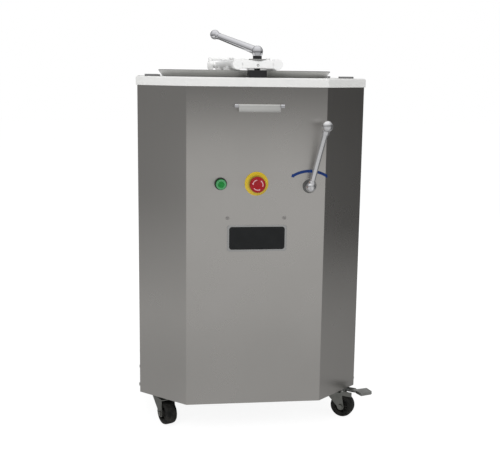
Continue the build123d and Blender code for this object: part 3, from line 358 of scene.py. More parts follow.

# Painted reflection: a mask that grows where a turned surface faces front or back, to darken it there.
fan, given, out = new_group("painted_reflection_fan", {"Power": 1.6}, {"Mask": "Float"})
seat = node(fan, "SeparateXYZ", {0: object_place(fan)}).outputs
level = node(fan, "CombineXYZ", {"X": seat["X"], "Y": seat["Y"]}).outputs[0]
heading = node(fan, "VectorMath", {0: level}, operation="NORMALIZE").outputs[0]
facing = calc(fan, "ABSOLUTE", node(fan, "SeparateXYZ", {0: heading}).outputs["Y"])
fan.links.new(calc(fan, "POWER", facing, given["Power"]), out["Mask"])

dust, given, out = new_group("settled_dust", {"Top": 0.10}, {"Mask": "Float"})
height = node(dust, "SeparateXYZ", {0: object_place(dust)}).outputs["Z"]
low_down = span(dust, height, given["Top"], 0.0)
specks = span(dust, noise(dust, object_place(dust), 55.0, 6.0, 0.65), 0.38, 0.70)
dust.links.new(calc(dust, "MULTIPLY", low_down, specks), out["Mask"])
print("effects", [effect.name for effect in (patches, skin, brushed, rings, fan, dust)])

# %% [markdown]
# One function mixes those effects into a finish: a base colour with faint patches, a grain with its bump,
# worn edges and settled dust. Each finish of the machine is then one call with the values of the real
# material. Numbers that are the same all over a surface go straight onto the shader's sockets.

# %% Finish recipe
dust_colour = rgb(0.36, 0.33, 0.29)
dust_rough = 0.5
painted_reflection_colour = rgb(0.06, 0.06, 0.055)


def group(tree, kind, **sockets):
    made = node(tree, "Group", node_tree=kind)
    for key, value in sockets.items():
        made.inputs[key].default_value = value
    return made.outputs


def finish(name, colour, rough, metal=0.0, shade=0.12, patch=9.0, patch_rough=0.06, grain=skin,
           grain_scale=420.0, grain_tone=0.05, bump=0.02, edge=0.8, worn=None, wear=0.0, dusty=0.0,
           streak=0.0, streak_turn=0.0, coat=0.0, fanned=0.0, mirror=0.5):
    """A material from a colour, a roughness and the shared effects; bump and edge are in millimetres."""
    made, tree = new_material(name)
    corner = group(tree, soft_edge, Radius=edge * mm)
    clouds = group(tree, patches, Scale=patch)["Mask"]
    texture = group(tree, grain, Scale=grain_scale)
    darker = rgb(*[level * (1.0 - shade) for level in colour])
    base = tint(tree, clouds, rgb(*colour), darker)
    swing = 2.0 * grain_tone
    lined = rgb(*[level * (1.0 - swing) for level in colour])
    base = tint(tree, calc(tree, "MULTIPLY", texture["Tone"], swing), base, lined)
    gloss = span(tree, clouds, 0.0, 1.0, rough, rough + patch_rough)
    # Painted reflection: turned metal is darkened where it faces front or back.
    if fanned:
        base = tint(tree, calc(tree, "MULTIPLY", group(tree, fan)["Mask"], fanned), base, painted_reflection_colour)
    if worn:
        amount = calc(tree, "MULTIPLY", corner["Wear"], wear)
        base = tint(tree, amount, base, rgb(*worn))
    if dusty:
        settled = calc(tree, "MULTIPLY", group(tree, dust)["Mask"], dusty)
        base = tint(tree, settled, base, dust_colour)
        gloss = calc(tree, "ADD", gloss, calc(tree, "MULTIPLY", settled, dust_rough), clamp=True)
    sockets = {"Height": texture["Height"], "Distance": bump * mm, "Normal": corner["Normal"]}
    relief = node(tree, "Bump", sockets).outputs[0]
    sockets = {"Base Color": base, "Roughness": gloss, "Normal": relief, "Metallic": metal}
    sockets.update({"Anisotropic": streak, "Anisotropic Rotation": streak_turn})
    sockets.update({"Coat Weight": coat, "Specular IOR Level": mirror})
    shader = node(tree, "BsdfPrincipled", sockets)
    node(tree, "OutputMaterial", {"Surface": shader.outputs[0]})
    return made


print("finish recipe ready")

# %% [markdown]
# The cabinet is brushed stainless sheet with an upright grain, so its reflections spread sideways. The lid
# and the bin are turned and polished, with rings round their axis and a painted reflection: a dark fan
# painted where the turned metal faces front and back.
# The table and the lid's frame are white, a little duller where their edges are worn.

# %% Cabinet and lid finishes
finishes = {}


def add_finish(name, colour, rough, **values):
    """Makes a finish and keeps it under its name."""
    finishes[name] = finish(name, colour, rough, **values)


add_finish("stainless_sheet", (0.566, 0.550, 0.526), 0.26, metal=1.0, shade=0.05, patch=3.0,
           patch_rough=0.05, grain=brushed, grain_scale=1100.0, bump=0.004, streak=0.72)
add_finish("polished_steel", (0.52, 0.52, 0.505), 0.17, metal=1.0, shade=0.06, patch=5.0, grain=rings,
           grain_scale=900.0, bump=0.004, edge=0.6, streak=0.55, streak_turn=0.25, fanned=0.20)
add_finish("white_table", (0.77, 0.77, 0.757), 0.36, shade=0.05, patch=6.0, patch_rough=0.08,
           grain_scale=500.0, grain_tone=0.02, bump=0.01, edge=1.2, worn=(0.55, 0.55, 0.53), wear=0.25,
           coat=0.15)
add_finish("white_frame", (0.86, 0.86, 0.855), 0.42, shade=0.04, patch=12.0, grain_scale=700.0,
           grain_tone=0.02, edge=1.2, worn=(0.60, 0.60, 0.60), wear=0.12)
add_finish("black_steel", (0.012, 0.012, 0.013), 0.45, shade=0.20, patch=20.0, patch_rough=0.10,
           grain_scale=900.0, edge=0.6, worn=(0.20, 0.20, 0.21), wear=0.4)
add_finish("chrome", (0.69, 0.69, 0.715), 0.05, metal=1.0, shade=0.05, patch=30.0, patch_rough=0.05,
           grain_scale=1500.0, grain_tone=0.03, bump=0.001, edge=0.4)
add_finish("handle_steel", (0.70, 0.70, 0.68), 0.30, metal=1.0, shade=0.06, patch=12.0, grain=brushed,
           grain_scale=1300.0, bump=0.004, edge=0.6)
add_finish("plain_steel", (0.50, 0.50, 0.49), 0.30, metal=1.0, shade=0.15, patch=60.0, patch_rough=0.10,
           bump=0.005)
add_finish("nut_grey", (0.17, 0.17, 0.17), 0.50, shade=0.15, patch=40.0, patch_rough=0.10, bump=0.01)
print("cabinet and lid finishes", len(finishes))

# %% [markdown]
# The controls are small moulded or plated pieces. Plastic needs little more than its colour and a soft gloss,
# so the values differ mainly in the mirror level: a low one keeps a dark or strong colour from greying.

# %% Control finishes
add_finish("nameplate_black", (0.016, 0.017, 0.0175), 0.50, shade=0.15, patch=30.0, patch_rough=0.08,
           bump=0.004, mirror=0.12)
add_finish("valve_steel", (0.25, 0.25, 0.245), 0.45, metal=1.0, shade=0.15, patch=60.0, patch_rough=0.08,
           bump=0.005, edge=0.6)
add_finish("bezel_dark", (0.020, 0.024, 0.021), 0.40, shade=0.15, patch=60.0, bump=0.01, edge=0.4)
add_finish("start_green", (0.007, 0.190, 0.030), 0.34, shade=0.10, patch=50.0, bump=0.004, edge=0.4,
           mirror=0.3)
add_finish("stop_yellow", (0.62, 0.44, 0.012), 0.22, shade=0.08, patch=30.0, bump=0.008, edge=0.4, coat=0.5)
add_finish("stop_red", (0.31, 0.004, 0.010), 0.30, patch=40.0, bump=0.004, edge=0.6, mirror=0.35)
add_finish("switch_plastic", (0.05, 0.05, 0.055), 0.45, shade=0.15, patch=40.0, patch_rough=0.08)
print("finishes so far", len(finishes))

# %% [markdown]
# Inner pieces get plain machine paints and metals: they show when the lid is open or from below. The casters
# are zinc-plated forks on black wheels, with dust on them. Every CAD node then gets the finish of its slot,
# and three nodes get one of their own.

# %% Inner and caster finishes
bare = (0.60, 0.60, 0.59)
add_finish("knife_steel", (0.60, 0.60, 0.60), 0.22, metal=1.0, shade=0.06, patch=10.0, patch_rough=0.08,
           grain=brushed, grain_scale=900.0, grain_tone=0.06, bump=0.004)
add_finish("pad_plastic", (0.80, 0.80, 0.765), 0.40, shade=0.06, patch=14.0, patch_rough=0.08, grain=rings,
           grain_scale=700.0, grain_tone=0.04)
add_finish("grey_frame", (0.30, 0.31, 0.32), 0.45, shade=0.15, patch=8.0, patch_rough=0.10, worn=bare,
           wear=0.5, dusty=0.4)
paints = {"hydraulic_paint": ((0.08, 0.15, 0.30), 0.40), "motor_paint": ((0.20, 0.25, 0.28), 0.45)}
for name, (colour, rough) in paints.items():
    add_finish(name, colour, rough, shade=0.15, patch=10.0, patch_rough=0.08, bump=0.03, worn=bare, wear=0.4)
add_finish("pump_iron", (0.20, 0.20, 0.20), 0.60, metal=0.6, shade=0.25, patch=40.0, patch_rough=0.10,
           grain_scale=900.0, grain_tone=0.10, bump=0.10)
add_finish("hose_rubber", (0.025, 0.025, 0.025), 0.60, shade=0.20, patch=30.0, patch_rough=0.10,
           grain_scale=900.0, bump=0.05)
add_finish("box_paint", (0.48, 0.49, 0.50), 0.50, shade=0.08, patch=10.0, grain_scale=900.0,
           grain_tone=0.03, bump=0.05)
add_finish("zinc_steel", (0.23, 0.235, 0.22), 0.30, metal=1.0, shade=0.16, patch=40.0, patch_rough=0.14,
           grain_scale=900.0, grain_tone=0.08, bump=0.01, worn=(0.35, 0.34, 0.32), wear=0.25, dusty=0.30)
add_finish("pedal_steel", (0.44, 0.445, 0.43), 0.34, metal=1.0, shade=0.14, patch=40.0, patch_rough=0.12,
           dusty=0.20)
add_finish("wheel_black", (0.008, 0.0085, 0.008), 0.60, shade=0.20, patch=40.0, patch_rough=0.12,
           grain_scale=700.0, bump=0.05, dusty=0.12, mirror=0.25)

own_finishes = {"front_right_pedal": "pedal_steel", "hinge_pin": "white_frame", "column_nuts": "nut_grey"}
for part in frame["record"]["subparts"]:
    surfaces = nodes[part["node"]].data.materials
    surfaces.clear()
    surfaces.append(finishes[own_finishes.get(part["node"], part["material_slot"])])
print("finishes", len(finishes))

# %% [markdown]
# New pieces are shaped in millimetres and scaled to metres when they are finished. Most of them come off a
# lathe, so the main tool spins a profile about Z. Others are a block or a flat outline with rounded edges.

# %% Shaping tools
up = (0, 0, 1)
to_front = (0, -1, 0)
to_rear = (0, 1, 0)
merge_gap = 0.001
crease_angle = math.radians(32)


def turned(profile, steps=48, closed=False):
    """A (radius, height) profile spun round Z; a closed profile makes a ring."""
    bm = bmesh.new()
    verts = [bm.verts.new((r, 0, h)) for r, h in profile]
    edges = [bm.edges.new(pair) for pair in zip(verts, verts[1:])]
    if closed:
        edges.append(bm.edges.new((verts[-1], verts[0])))
    whole = 2 * math.pi
    bmesh.ops.spin(bm, geom=verts + edges, cent=(0, 0, 0), axis=up, angle=whole, steps=steps, use_merge=True)
    bmesh.ops.remove_doubles(bm, verts=bm.verts, dist=merge_gap)
    bmesh.ops.recalc_face_normals(bm, faces=bm.faces)
    return bm


def rounded_edges(bm, width, segments=3):
    """Rounds every edge that is sharper than a crease."""
    sharp = [edge for edge in bm.edges if edge.is_manifold and edge.calc_face_angle() > crease_angle]
    bmesh.ops.bevel(bm, geom=sharp, offset=width, segments=segments, profile=0.5, affect="EDGES", material=-1,
                    clamp_overlap=True)
    return bm


def slab(low, high, width=0.0):
    """A block between two corners, with rounded edges."""
    bm = bmesh.new()
    bmesh.ops.create_cube(bm, size=1.0)
    size = [b - a for a, b in zip(low, high)]
    middle = [(a + b) / 2 for a, b in zip(low, high)]
    bmesh.ops.scale(bm, verts=bm.verts, vec=size)
    bmesh.ops.translate(bm, verts=bm.verts, vec=middle)
    return rounded_edges(bm, width) if width else bm


def cut_out(points, thickness, width=0.0):
    """A flat outline of (x, y) points given a thickness, with rounded edges."""
    bm = bmesh.new()
    face = bm.faces.new([bm.verts.new((x, y, 0)) for x, y in points])
    raised = bmesh.ops.extrude_face_region(bm, geom=[face])["geom"]
    bmesh.ops.translate(bm, verts=new_verts(raised), vec=(0, 0, thickness))
    bmesh.ops.recalc_face_normals(bm, faces=bm.faces)
    return rounded_edges(bm, width) if width else bm


def hexagon(radius, height, width):
    points = [(radius * math.cos(i * math.pi / 3), radius * math.sin(i * math.pi / 3)) for i in range(6)]
    return cut_out(points, height, width)


def sit(bm, place, axis=up):
    """Turns Z onto an axis and moves the origin to a place."""
    turn = Vector(axis).to_track_quat("Z", "Y").to_matrix().to_4x4()
    bmesh.ops.transform(bm, matrix=Matrix.Translation(place) @ turn, verts=bm.verts)
    return bm


def joined(*shapes):
    """Several shapes as one."""
    whole = bmesh.new()
    for shape in shapes:
        mesh = bpy.data.meshes.new("joining")
        shape.to_mesh(mesh)
        shape.free()
        whole.from_mesh(mesh)
        bpy.data.meshes.remove(mesh)
    return whole


def piece(name, bm, body, slot, stands_for=(), extra_finishes=()):
    """Makes a shape a finished object that rides on a body."""
    bmesh.ops.scale(bm, verts=bm.verts, vec=(mm, mm, mm))
    mesh = bpy.data.meshes.new(name)
    bm.to_mesh(mesh)
    bm.free()
    for surface in (finishes[slot], *extra_finishes):
        mesh.materials.append(surface)
    mesh.shade_smooth()
    mesh.set_sharp_from_angle(angle=crease_angle)
    made = bpy.data.objects.new(name, mesh)
    scene.collection.objects.link(made)
    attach(made, body)
    if stands_for:
        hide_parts(*stands_for)
    print(name, len(mesh.polygons), "faces")
    return made


def joint_place(name):
    """A joint's place in millimetres."""
    return Vector(joints[name]["pos_m"]) / mm


def node_box(name):
    """A CAD node's low corner, middle and high corner in millimetres."""
    low, high = [Vector(corner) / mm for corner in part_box(name)]
    return low, (low + high) / 2, high


table_z = node_box("table_top")[2].z
front_y = node_box("front_panel")[0].y
print("table at", round(table_z, 1), "front sheet at", round(front_y, 1))

# %% [markdown]
# The lid is a shallow pan, spun from sheet on a lathe, with a flared wall and a rolled rim. One profile from
# the middle of its floor, over the rim and back under it, gives the whole pan.

# %% Lid pan
pan_under, pan_floor, pan_inside, pan_foot = 0.4, 4.4, 222.0, 227.0
rim_r, rim_outer, rim_top = 1.2, 237.5, 18.0
rim_centre = (rim_outer - rim_r, rim_top - rim_r)
rim_angles = (215, 180, 145, 110, 75, 40, 5, -20)
pan_profile = [(0, pan_floor), (pan_inside, pan_floor), (pan_inside + 4.0, 4.8), (pan_inside + 6.4, 6.6)]
for degrees in rim_angles:
    a = math.radians(degrees)
    pan_profile.append((rim_centre[0] + rim_r * math.cos(a), rim_centre[1] + rim_r * math.sin(a)))
pan_profile += [(pan_foot + 1.9, 3.6), (pan_foot + 0.3, 1.6), (pan_foot - 1.6, 0.6), (pan_inside, pan_under)]
pan_profile.append((0, pan_under))
pan = sit(turned(pan_profile, steps=144), (0, 0, table_z))
piece("lid_pan", pan, "lid", "polished_steel", ("lid_dish",))

# %% [markdown]
# The lock sits on a white block between the two lid arms. A steel washer lies on the block, and a small set
# screw in its front holds the spindle.

# %% Lock block
lock_hub = joint_place("lock_turn")
block_half_x, block_half_y = 40.0, 16.0
block_foot, block_top, block_round = 22.0, 42.0, 2.0
block_low = (-block_half_x, lock_hub.y - block_half_y, table_z + block_foot)
block_high = (block_half_x, lock_hub.y + block_half_y, table_z + block_top)
piece("lock_block", slab(block_low, block_high, block_round), "lid", "white_frame", ("lid_crossblock",))

washer = [(7.3, 0), (7.3, 2.6), (7.8, 3.0), (19.9, 3.0), (20.7, 2.6), (21.0, 1.8), (21.0, 0.6), (20.5, 0)]
piece("lock_washer", sit(turned(washer, closed=True), (0, lock_hub.y, block_high[2])), "lid", "plain_steel")

set_screw = [(0, -1.8), (1.7, -1.8), (1.9, 0.2), (2.6, 0.4), (3.1, 0.1), (3.2, -2.0), (0, -2.0)]
set_screw_rise = 8.0
set_screw_place = (0, block_low[1], block_low[2] + set_screw_rise)
piece("lock_set_screw", sit(turned(set_screw, 24), set_screw_place, to_front), "lid", "black_steel")

# %% [markdown]
# Both levers are plated bars with a ball at the end. A lathe makes the straight lock lever in one profile:
# taper, groove, collar and ball. Its hub is a ball with a small dimple on top and a skirt over the spindle.

# %% Lock lever
def ball_end(centre, radius, neck):
    """Profile points of a ball from its neck's radius to its far pole."""
    start = math.asin(neck / radius)
    turns = 12
    angles = [start + (math.pi - start) * i / turns for i in range(turns + 1)]
    return [(radius * math.sin(a), centre - radius * math.cos(a)) for a in angles]


def lever_tip(length, rod, collar, collar_length, ball):
    """Profile of a lever's end: rod, groove, collar and ball."""
    foot = length - ball - collar_length
    meet = length - math.sqrt(ball ** 2 - collar ** 2)
    points = [(rod, foot - 2.6), (rod - 0.8, foot - 2.2), (rod - 0.8, foot - 0.6), (collar - 0.7, foot)]
    points += [(collar, foot + 0.7), (collar, meet - 0.8), (collar - 0.6, meet - 0.3)]
    return points + ball_end(length, ball, collar - 0.6)


lock_reach = Vector((-97.0, 97.0, 42.0))
lock_rod, lock_collar, lock_collar_length, lock_ball_radius = 8.0, 8.8, 3.0, 12.0
lock_profile = [(0, 4.0), (9.2, 4.0), (9.8, 12.0), (9.7, 24.0)]
lock_profile += lever_tip(lock_reach.length, lock_rod, lock_collar, lock_collar_length, lock_ball_radius)
lock_arm = sit(turned(lock_profile), lock_hub, lock_reach)
hub_profile = [(0, 12.4), (2.6, 12.6), (3.4, 13.3), (4.6, 13.0), (7.4, 11.6), (10.2, 9.2), (12.6, 5.6)]
hub_profile += [(13.7, 1.6), (13.8, -1.8), (13.0, -5.4), (11.9, -9.0), (11.5, -11.0), (11.0, -11.6)]
hub_profile += [(7.1, -11.6), (7.1, -6.0), (0, -6.0)]
lock_knob = sit(turned(hub_profile), lock_hub)
piece("lock_handle", joined(lock_arm, lock_knob), "lid_lock", "chrome", ("lock_lever",))

# %% [markdown]
# The control lever bends forward on its way up. Its rod is a circle extruded ring by ring along a curve,
# which keeps the bend round; the tip and the hub come off the lathe as before.

# %% Control lever
def swept(points, radii, steps=24):
    """A round rod along a list of points, with a radius at each, closed at both ends."""
    bm = bmesh.new()
    bmesh.ops.create_circle(bm, segments=steps, radius=radii[0], cap_ends=True)
    start_turn = (points[1] - points[0]).to_track_quat("Z", "Y")
    sit(bm, points[0], points[1] - points[0])
    end_face = bm.faces[:][0]
    following = points[2:] + [points[-1] * 2 - points[-2]]
    for i, after in enumerate(following):
        before, here = points[i], points[i + 1]
        grown = bmesh.ops.extrude_face_region(bm, geom=[end_face])["geom"]
        end_face = [item for item in grown if isinstance(item, bmesh.types.BMFace)][0]
        turn = (after - before).to_track_quat("Z", "Y")
        change = turn @ start_turn.inverted()
        grow = Matrix.Scale(radii[i + 1] / radii[i], 4)
        move = Matrix.Translation(here) @ change.to_matrix().to_4x4() @ grow @ Matrix.Translation(-before)
        bmesh.ops.transform(bm, matrix=move, verts=new_verts(grown))
        start_turn = turn
    bmesh.ops.recalc_face_normals(bm, faces=bm.faces)
    return bm


control_hub = joint_place("control_turn")
control_bend = control_hub + Vector((17.0, -12.0, 82.0))
control_ball = control_hub + Vector((29.0, -39.0, 153.5))
ball_radius, rod_low, rod_high = 14.0, 6.6, 7.3
collar_radius, collar_length = 9.6, 6.5
tip_length = 26.0
bend_share = 0.45
curve_steps = 8
bend_start = control_bend.lerp(control_hub, bend_share)
bend_end = control_bend.lerp(control_ball, bend_share)
rod_points = [control_hub.copy()]
for i in range(curve_steps + 1):
    t = i / curve_steps
    rod_points.append(bend_start.lerp(control_bend, t).lerp(control_bend.lerp(bend_end, t), t))
tip_reach = control_ball - bend_end
rod_points.append(control_ball - tip_reach.normalized() * ball_radius)
rod_rise = [(point - control_hub).length / (control_ball - control_hub).length for point in rod_points]
rod_radii = [rod_low + (rod_high - rod_low) * share for share in rod_rise]
control_rod = swept(rod_points, rod_radii)

tip_start = tip_reach.length - tip_length
tip_profile = [(0, tip_start), (rod_high, tip_start)]
tip_profile += lever_tip(tip_reach.length, rod_high, collar_radius, collar_length, ball_radius)
control_tip = sit(turned(tip_profile), bend_end, tip_reach)
knob_profile = [(0, 11.4), (3.4, 11.6), (4.2, 12.4), (5.4, 12.0), (8.4, 10.1), (11.0, 7.2), (12.7, 3.6)]
knob_profile += [(13.2, 0), (12.7, -3.6), (11.4, -6.6), (10.5, -8.4), (10.5, -13.3), (10.1, -13.7)]
knob_profile.append((0, -13.7))
control_knob = sit(turned(knob_profile), control_hub, to_front)
socket_axis = rod_points[1] - control_hub
socket = [(0, 7.0), (8.6, 7.0), (8.9, 8.0), (8.9, 14.6), (8.3, 15.4), (7.1, 15.6), (6.7, 16.4), (0, 16.4)]
control_socket = sit(turned(socket), control_hub, socket_axis)
control_pieces = joined(control_rod, control_tip, control_knob, control_socket)
add_finish("lever_chrome", (0.81, 0.81, 0.825), 0.20, metal=1.0, shade=0.05, patch=30.0, patch_rough=0.05,
           bump=0.001, edge=0.4)
made = piece("control_handle", control_pieces, "control", "lever_chrome", ("control_lever",))

# %% [markdown]
# The emergency stop is a red mushroom head on a yellow disc. The head has a flat front with a shallow middle,
# a round shoulder and a drawn-in back for the fingers. Three pale arrows say which way it turns to let go.

# %% Emergency stop
stop_back = joint_place("stop_twist")
head_profile = [(0, 16.2), (7.2, 16.2), (8.4, 16.9), (15.4, 17.0), (17.6, 16.4), (19.1, 15.0), (19.8, 12.8)]
head_profile += [(20.0, 10.0), (19.9, 6.5), (18.9, 3.2), (16.8, 0.9), (14.5, 0), (5.4, 0), (5.4, 6.0)]
head_profile.append((0, 6.0))
mushroom = sit(turned(head_profile, 64), stop_back, to_front)
piece("stop_mushroom", mushroom, "stop_knob", "stop_red", ("stop_head",))


def arc_arrow(radius, width, start, sweep, head, flare=1.15, both_ends=False, thickness=0.2, steps=20):
    """A flat arrow bent round the origin, seen along Z; start and sweep are in degrees."""
    bm = bmesh.new()
    a0 = math.radians(start)
    turn = math.radians(sweep)
    sides = [radius - width / 2, radius + width / 2]
    verts = [bm.verts.new((r * math.cos(a0), r * math.sin(a0), 0)) for r in sides]
    edge = bm.edges.new(verts)
    bmesh.ops.spin(bm, geom=verts + [edge], cent=(0, 0, 0), axis=up, angle=turn, steps=steps, use_merge=False)
    ends = [(a0 + turn, math.copysign(1.0, sweep))]
    if both_ends:
        ends.append((a0, -math.copysign(1.0, sweep)))
    for angle, way in ends:
        tip = angle + way * head / radius
        barbs = [(radius - width * flare, angle), (radius + width * flare, angle), (radius, tip)]
        bm.faces.new([bm.verts.new((r * math.cos(a), r * math.sin(a), 0)) for r, a in barbs])
    bmesh.ops.recalc_face_normals(bm, faces=bm.faces)
    thick = bmesh.ops.extrude_face_region(bm, geom=bm.faces[:])["geom"]
    bmesh.ops.translate(bm, verts=new_verts(thick), vec=(0, 0, thickness))
    bmesh.ops.recalc_face_normals(bm, faces=bm.faces)
    return bm


add_finish("arrow_white", (0.62, 0.34, 0.37), 0.40, bump=0.004, edge=0.2)
arrow_count, arrow_start, arrow_sweep = 3, 100.0, 62.0
arrow_radius, arrow_width, arrow_head, arrow_height = 12.6, 2.2, 4.0, 16.95
arrow_place = stop_back + Vector(to_front) * arrow_height
for index in range(arrow_count):
    start = arrow_start + index * 360 / arrow_count
    arrow = arc_arrow(arrow_radius, arrow_width, start, arrow_sweep, arrow_head)
    made = piece(f"stop_arrow_{index}", sit(arrow, arrow_place, to_front), "stop_knob", "arrow_white")

# %% [markdown]
# The yellow disc lies on the sheet close behind the head, where little light comes in. It is a turned ring,
# and its finish is darkened by the distance from its middle, so that the gap looks as deep as it is.

# %% Stop disc
shade_near, shade_far, shade_share = 16.5, 23.5, 0.80
shade_colour = rgb(0.02, 0.015, 0.002)


def darkened(material, centre, near, far, share):
    """Darkens a material's base colour close to a point, up to a distance."""
    tree = material.node_tree
    shader = next(item for item in tree.nodes if item.type == "BSDF_PRINCIPLED")
    colour = shader.inputs["Base Color"].links[0].from_socket
    sockets = {0: object_place(tree), 1: [level * mm for level in centre]}
    distance = node(tree, "VectorMath", sockets, operation="DISTANCE").outputs["Value"]
    shadow = span(tree, distance, near * mm, far * mm, share, 0.0)
    tree.links.new(tint(tree, shadow, colour, shade_colour), shader.inputs["Base Color"])


disc_place = (stop_back.x, front_y, stop_back.z)
darkened(finishes["stop_yellow"], disc_place, shade_near, shade_far, shade_share)
disc_profile = [(5.4, 0), (5.4, 6.5), (13.4, 6.5), (14.0, 6.0), (14.0, 3.2), (14.4, 3.0), (28.6, 3.0)]
disc_profile += [(29.7, 2.4), (30.0, 1.4), (30.0, 0)]
disc = sit(turned(disc_profile, 72, closed=True), disc_place, to_front)
piece("stop_disc", disc, "cabinet", "stop_yellow", ("stop_plate",))

# %% [markdown]
# The start button is a long green cap with a raised rim, in a dark round bezel. The rim gets a paler copy
# of the cap's green, a painted highlight where the rim catches light. Both are turned; the cap stands clear
# of the bezel all round, so that it can be pushed in.

# %% Start button
bezel_middle = node_box("start_bezel")[1]
start_place = (bezel_middle.x, front_y, bezel_middle.z)
bezel_profile = [(13.1, 0), (13.1, 5.4), (13.5, 6.0), (14.4, 6.0), (15.2, 5.4), (15.5, 4.4), (15.5, 0)]
bezel = sit(turned(bezel_profile, 64, closed=True), start_place, to_front)
piece("start_ring", bezel, "cabinet", "bezel_dark", ("start_bezel",))

cap_rim, cap_face, rim_slack = 7.7, 18.8, 0.3
cap_profile = [(0, cap_face), (cap_rim, cap_face), (8.0, 19.4), (8.7, 20.0), (11.4, 20.0), (12.4, 19.5)]
cap_profile += [(12.8, 18.5), (12.8, 4.0), (5.0, 4.0), (5.0, -30.0), (0, -30.0)]
# Painted highlight: a paler green for the rim's faces, where light catches the raised rim.
add_finish("painted_rim_highlight", (0.065, 0.285, 0.110), 0.34, shade=0.10, patch=50.0, bump=0.004, edge=0.4)
cap = turned(cap_profile, 64)
for face in cap.faces:
    middle = face.calc_center_median()
    face.material_index = int(middle.z > cap_face - rim_slack and middle.xy.length > cap_rim)
sit(cap, start_place, to_front)
piece("start_cap", cap, "start", "start_green", ("start_button",), (finishes["painted_rim_highlight"],))

# %% [markdown]
# The nameplate is a bare black plate in a bright frame. Loops with rounded corners are bridged one after
# another: up the outer edge, over the frame and down to the sunk field, which is then filled.

# %% Nameplate
plate_middle = node_box("nameplate")[1]
plate_outer, plate_field = (75.5, 33.5), (70.8, 29.2)
outer_corner, field_corner = 6.0, 7.0
plate_thickness, field_depth = 1.5, 0.5
plate_edge, field_edge = 0.4, 0.3
field_level = plate_thickness - field_depth
corner_steps = 6


def rounded_loop(bm, half, corner, height):
    """The corners of a rectangle with round corners, in order, at a height."""
    verts = []
    for quarter, (sx, sy) in enumerate(((1, 1), (-1, 1), (-1, -1), (1, -1))):
        for step in range(corner_steps + 1):
            a = (quarter + step / corner_steps) * math.pi / 2
            x = sx * (half[0] - corner) + corner * math.cos(a)
            y = sy * (half[1] - corner) + corner * math.sin(a)
            verts.append(bm.verts.new((x, y, height)))
    return verts


bm = bmesh.new()
plate_loops = [
    rounded_loop(bm, plate_outer, outer_corner, 0.0),
    rounded_loop(bm, plate_outer, outer_corner, plate_thickness - plate_edge),
    rounded_loop(bm, [half - plate_edge for half in plate_outer], outer_corner, plate_thickness),
    rounded_loop(bm, plate_field, field_corner, plate_thickness),
    rounded_loop(bm, [half - field_edge for half in plate_field], field_corner, field_level),
]
for low_loop, high_loop in zip(plate_loops, plate_loops[1:]):
    edges = []
    for loop in (low_loop, high_loop):
        for a, b in zip(loop, loop[1:] + loop[:1]):
            edges.append(bm.edges.get((a, b)) or bm.edges.new((a, b)))
    bmesh.ops.bridge_loops(bm, edges=edges)
bm.faces.new(plate_loops[0])
for face in bm.faces:
    face.material_index = 1
field = bm.faces.new(plate_loops[-1])
field.material_index = 0
bmesh.ops.recalc_face_normals(bm, faces=bm.faces)
add_finish("plate_border", (0.50, 0.50, 0.495), 0.25, metal=1.0, shade=0.05, patch=30.0, bump=0.004, edge=0.3)
sit(bm, (plate_middle.x, front_y, plate_middle.z), to_front)
piece("name_plate", bm, "cabinet", "nameplate_black", ("nameplate",), (finishes["plate_border"],))

# %% [markdown]
# The pull at the top is a strip of steel rolled round a pin, so that it can be lifted with the fingertips. It
# hangs with its lower edge a little forward, which turns its face to the light from above.

# %% Drop handle
handle_axis = joint_place("handle_swing")
handle_half, pin_half, pin_radius, strip_round = 52.0, 61.7, 1.9, 0.5
strip = [(0.6, 4.4), (2.9, 3.4), (4.3, 1.2), (4.3, -1.4), (2.6, -3.6), (0.8, -4.6), (-1.4, -9.4)]
strip += [(-2.6, -12.6), (-3.4, -14.6), (-4.9, -15.0), (-5.9, -13.8), (-5.6, -12.0), (-3.6, -5.4)]
strip += [(-2.2, -0.6), (-1.4, 2.6), (-0.6, 4.0)]
leaf = cut_out(strip, 2 * handle_half)
end_place = handle_axis - Vector((handle_half, 0, 0))
lie = Matrix(((0, 0, 1, 0), (1, 0, 0, 0), (0, 1, 0, 0), (0, 0, 0, 1)))
bmesh.ops.transform(leaf, matrix=Matrix.Translation(end_place) @ lie, verts=leaf.verts)
rounded_edges(leaf, strip_round, 2)
pin_profile = [(0, -pin_half), (pin_radius, -pin_half), (pin_radius, pin_half), (0, pin_half)]
pin = sit(turned(pin_profile, 20), handle_axis, (1, 0, 0))
piece("pull_handle", joined(leaf, pin), "drop_handle", "handle_steel", ("front_handle",))

# %% [markdown]
# Pan-head screws hold the panels. Each head starts as a small grid: the middle faces are pushed in for the
# cross recess, and the outer edge is drawn out to a circle, down over the dome and into the sheet. The places
# come from the CAD node's own solids.

# %% Panel screws
def solid_boxes(name):
    """Corners, in millimetres, of each separate solid of a CAD node."""
    bm = bmesh.new()
    bm.from_mesh(nodes[name].data)
    bmesh.ops.remove_doubles(bm, verts=bm.verts, dist=merge_gap * mm)
    left = dict.fromkeys(bm.verts)
    boxes = []
    while left:
        group_verts = [next(iter(left))]
        del left[group_verts[0]]
        for vert in group_verts:
            for edge in vert.link_edges:
                other = edge.other_vert(vert)
                if other in left:
                    del left[other]
                    group_verts.append(other)
        low = Vector([min(v.co[i] for v in group_verts) for i in range(3)]) / mm
        high = Vector([max(v.co[i] for v in group_verts) for i in range(3)]) / mm
        boxes.append((low, high))
    bm.free()
    return boxes


screw_radius, screw_height, sheet_half = 4.5, 2.4, -front_y
top_share, recess_half, recess_reach, recess_depth = 0.56, 0.2, 0.6, 0.6
head_dome = ((0.84, 0.90), (0.97, 0.62), (1.0, 0.25), (1.0, -0.2))


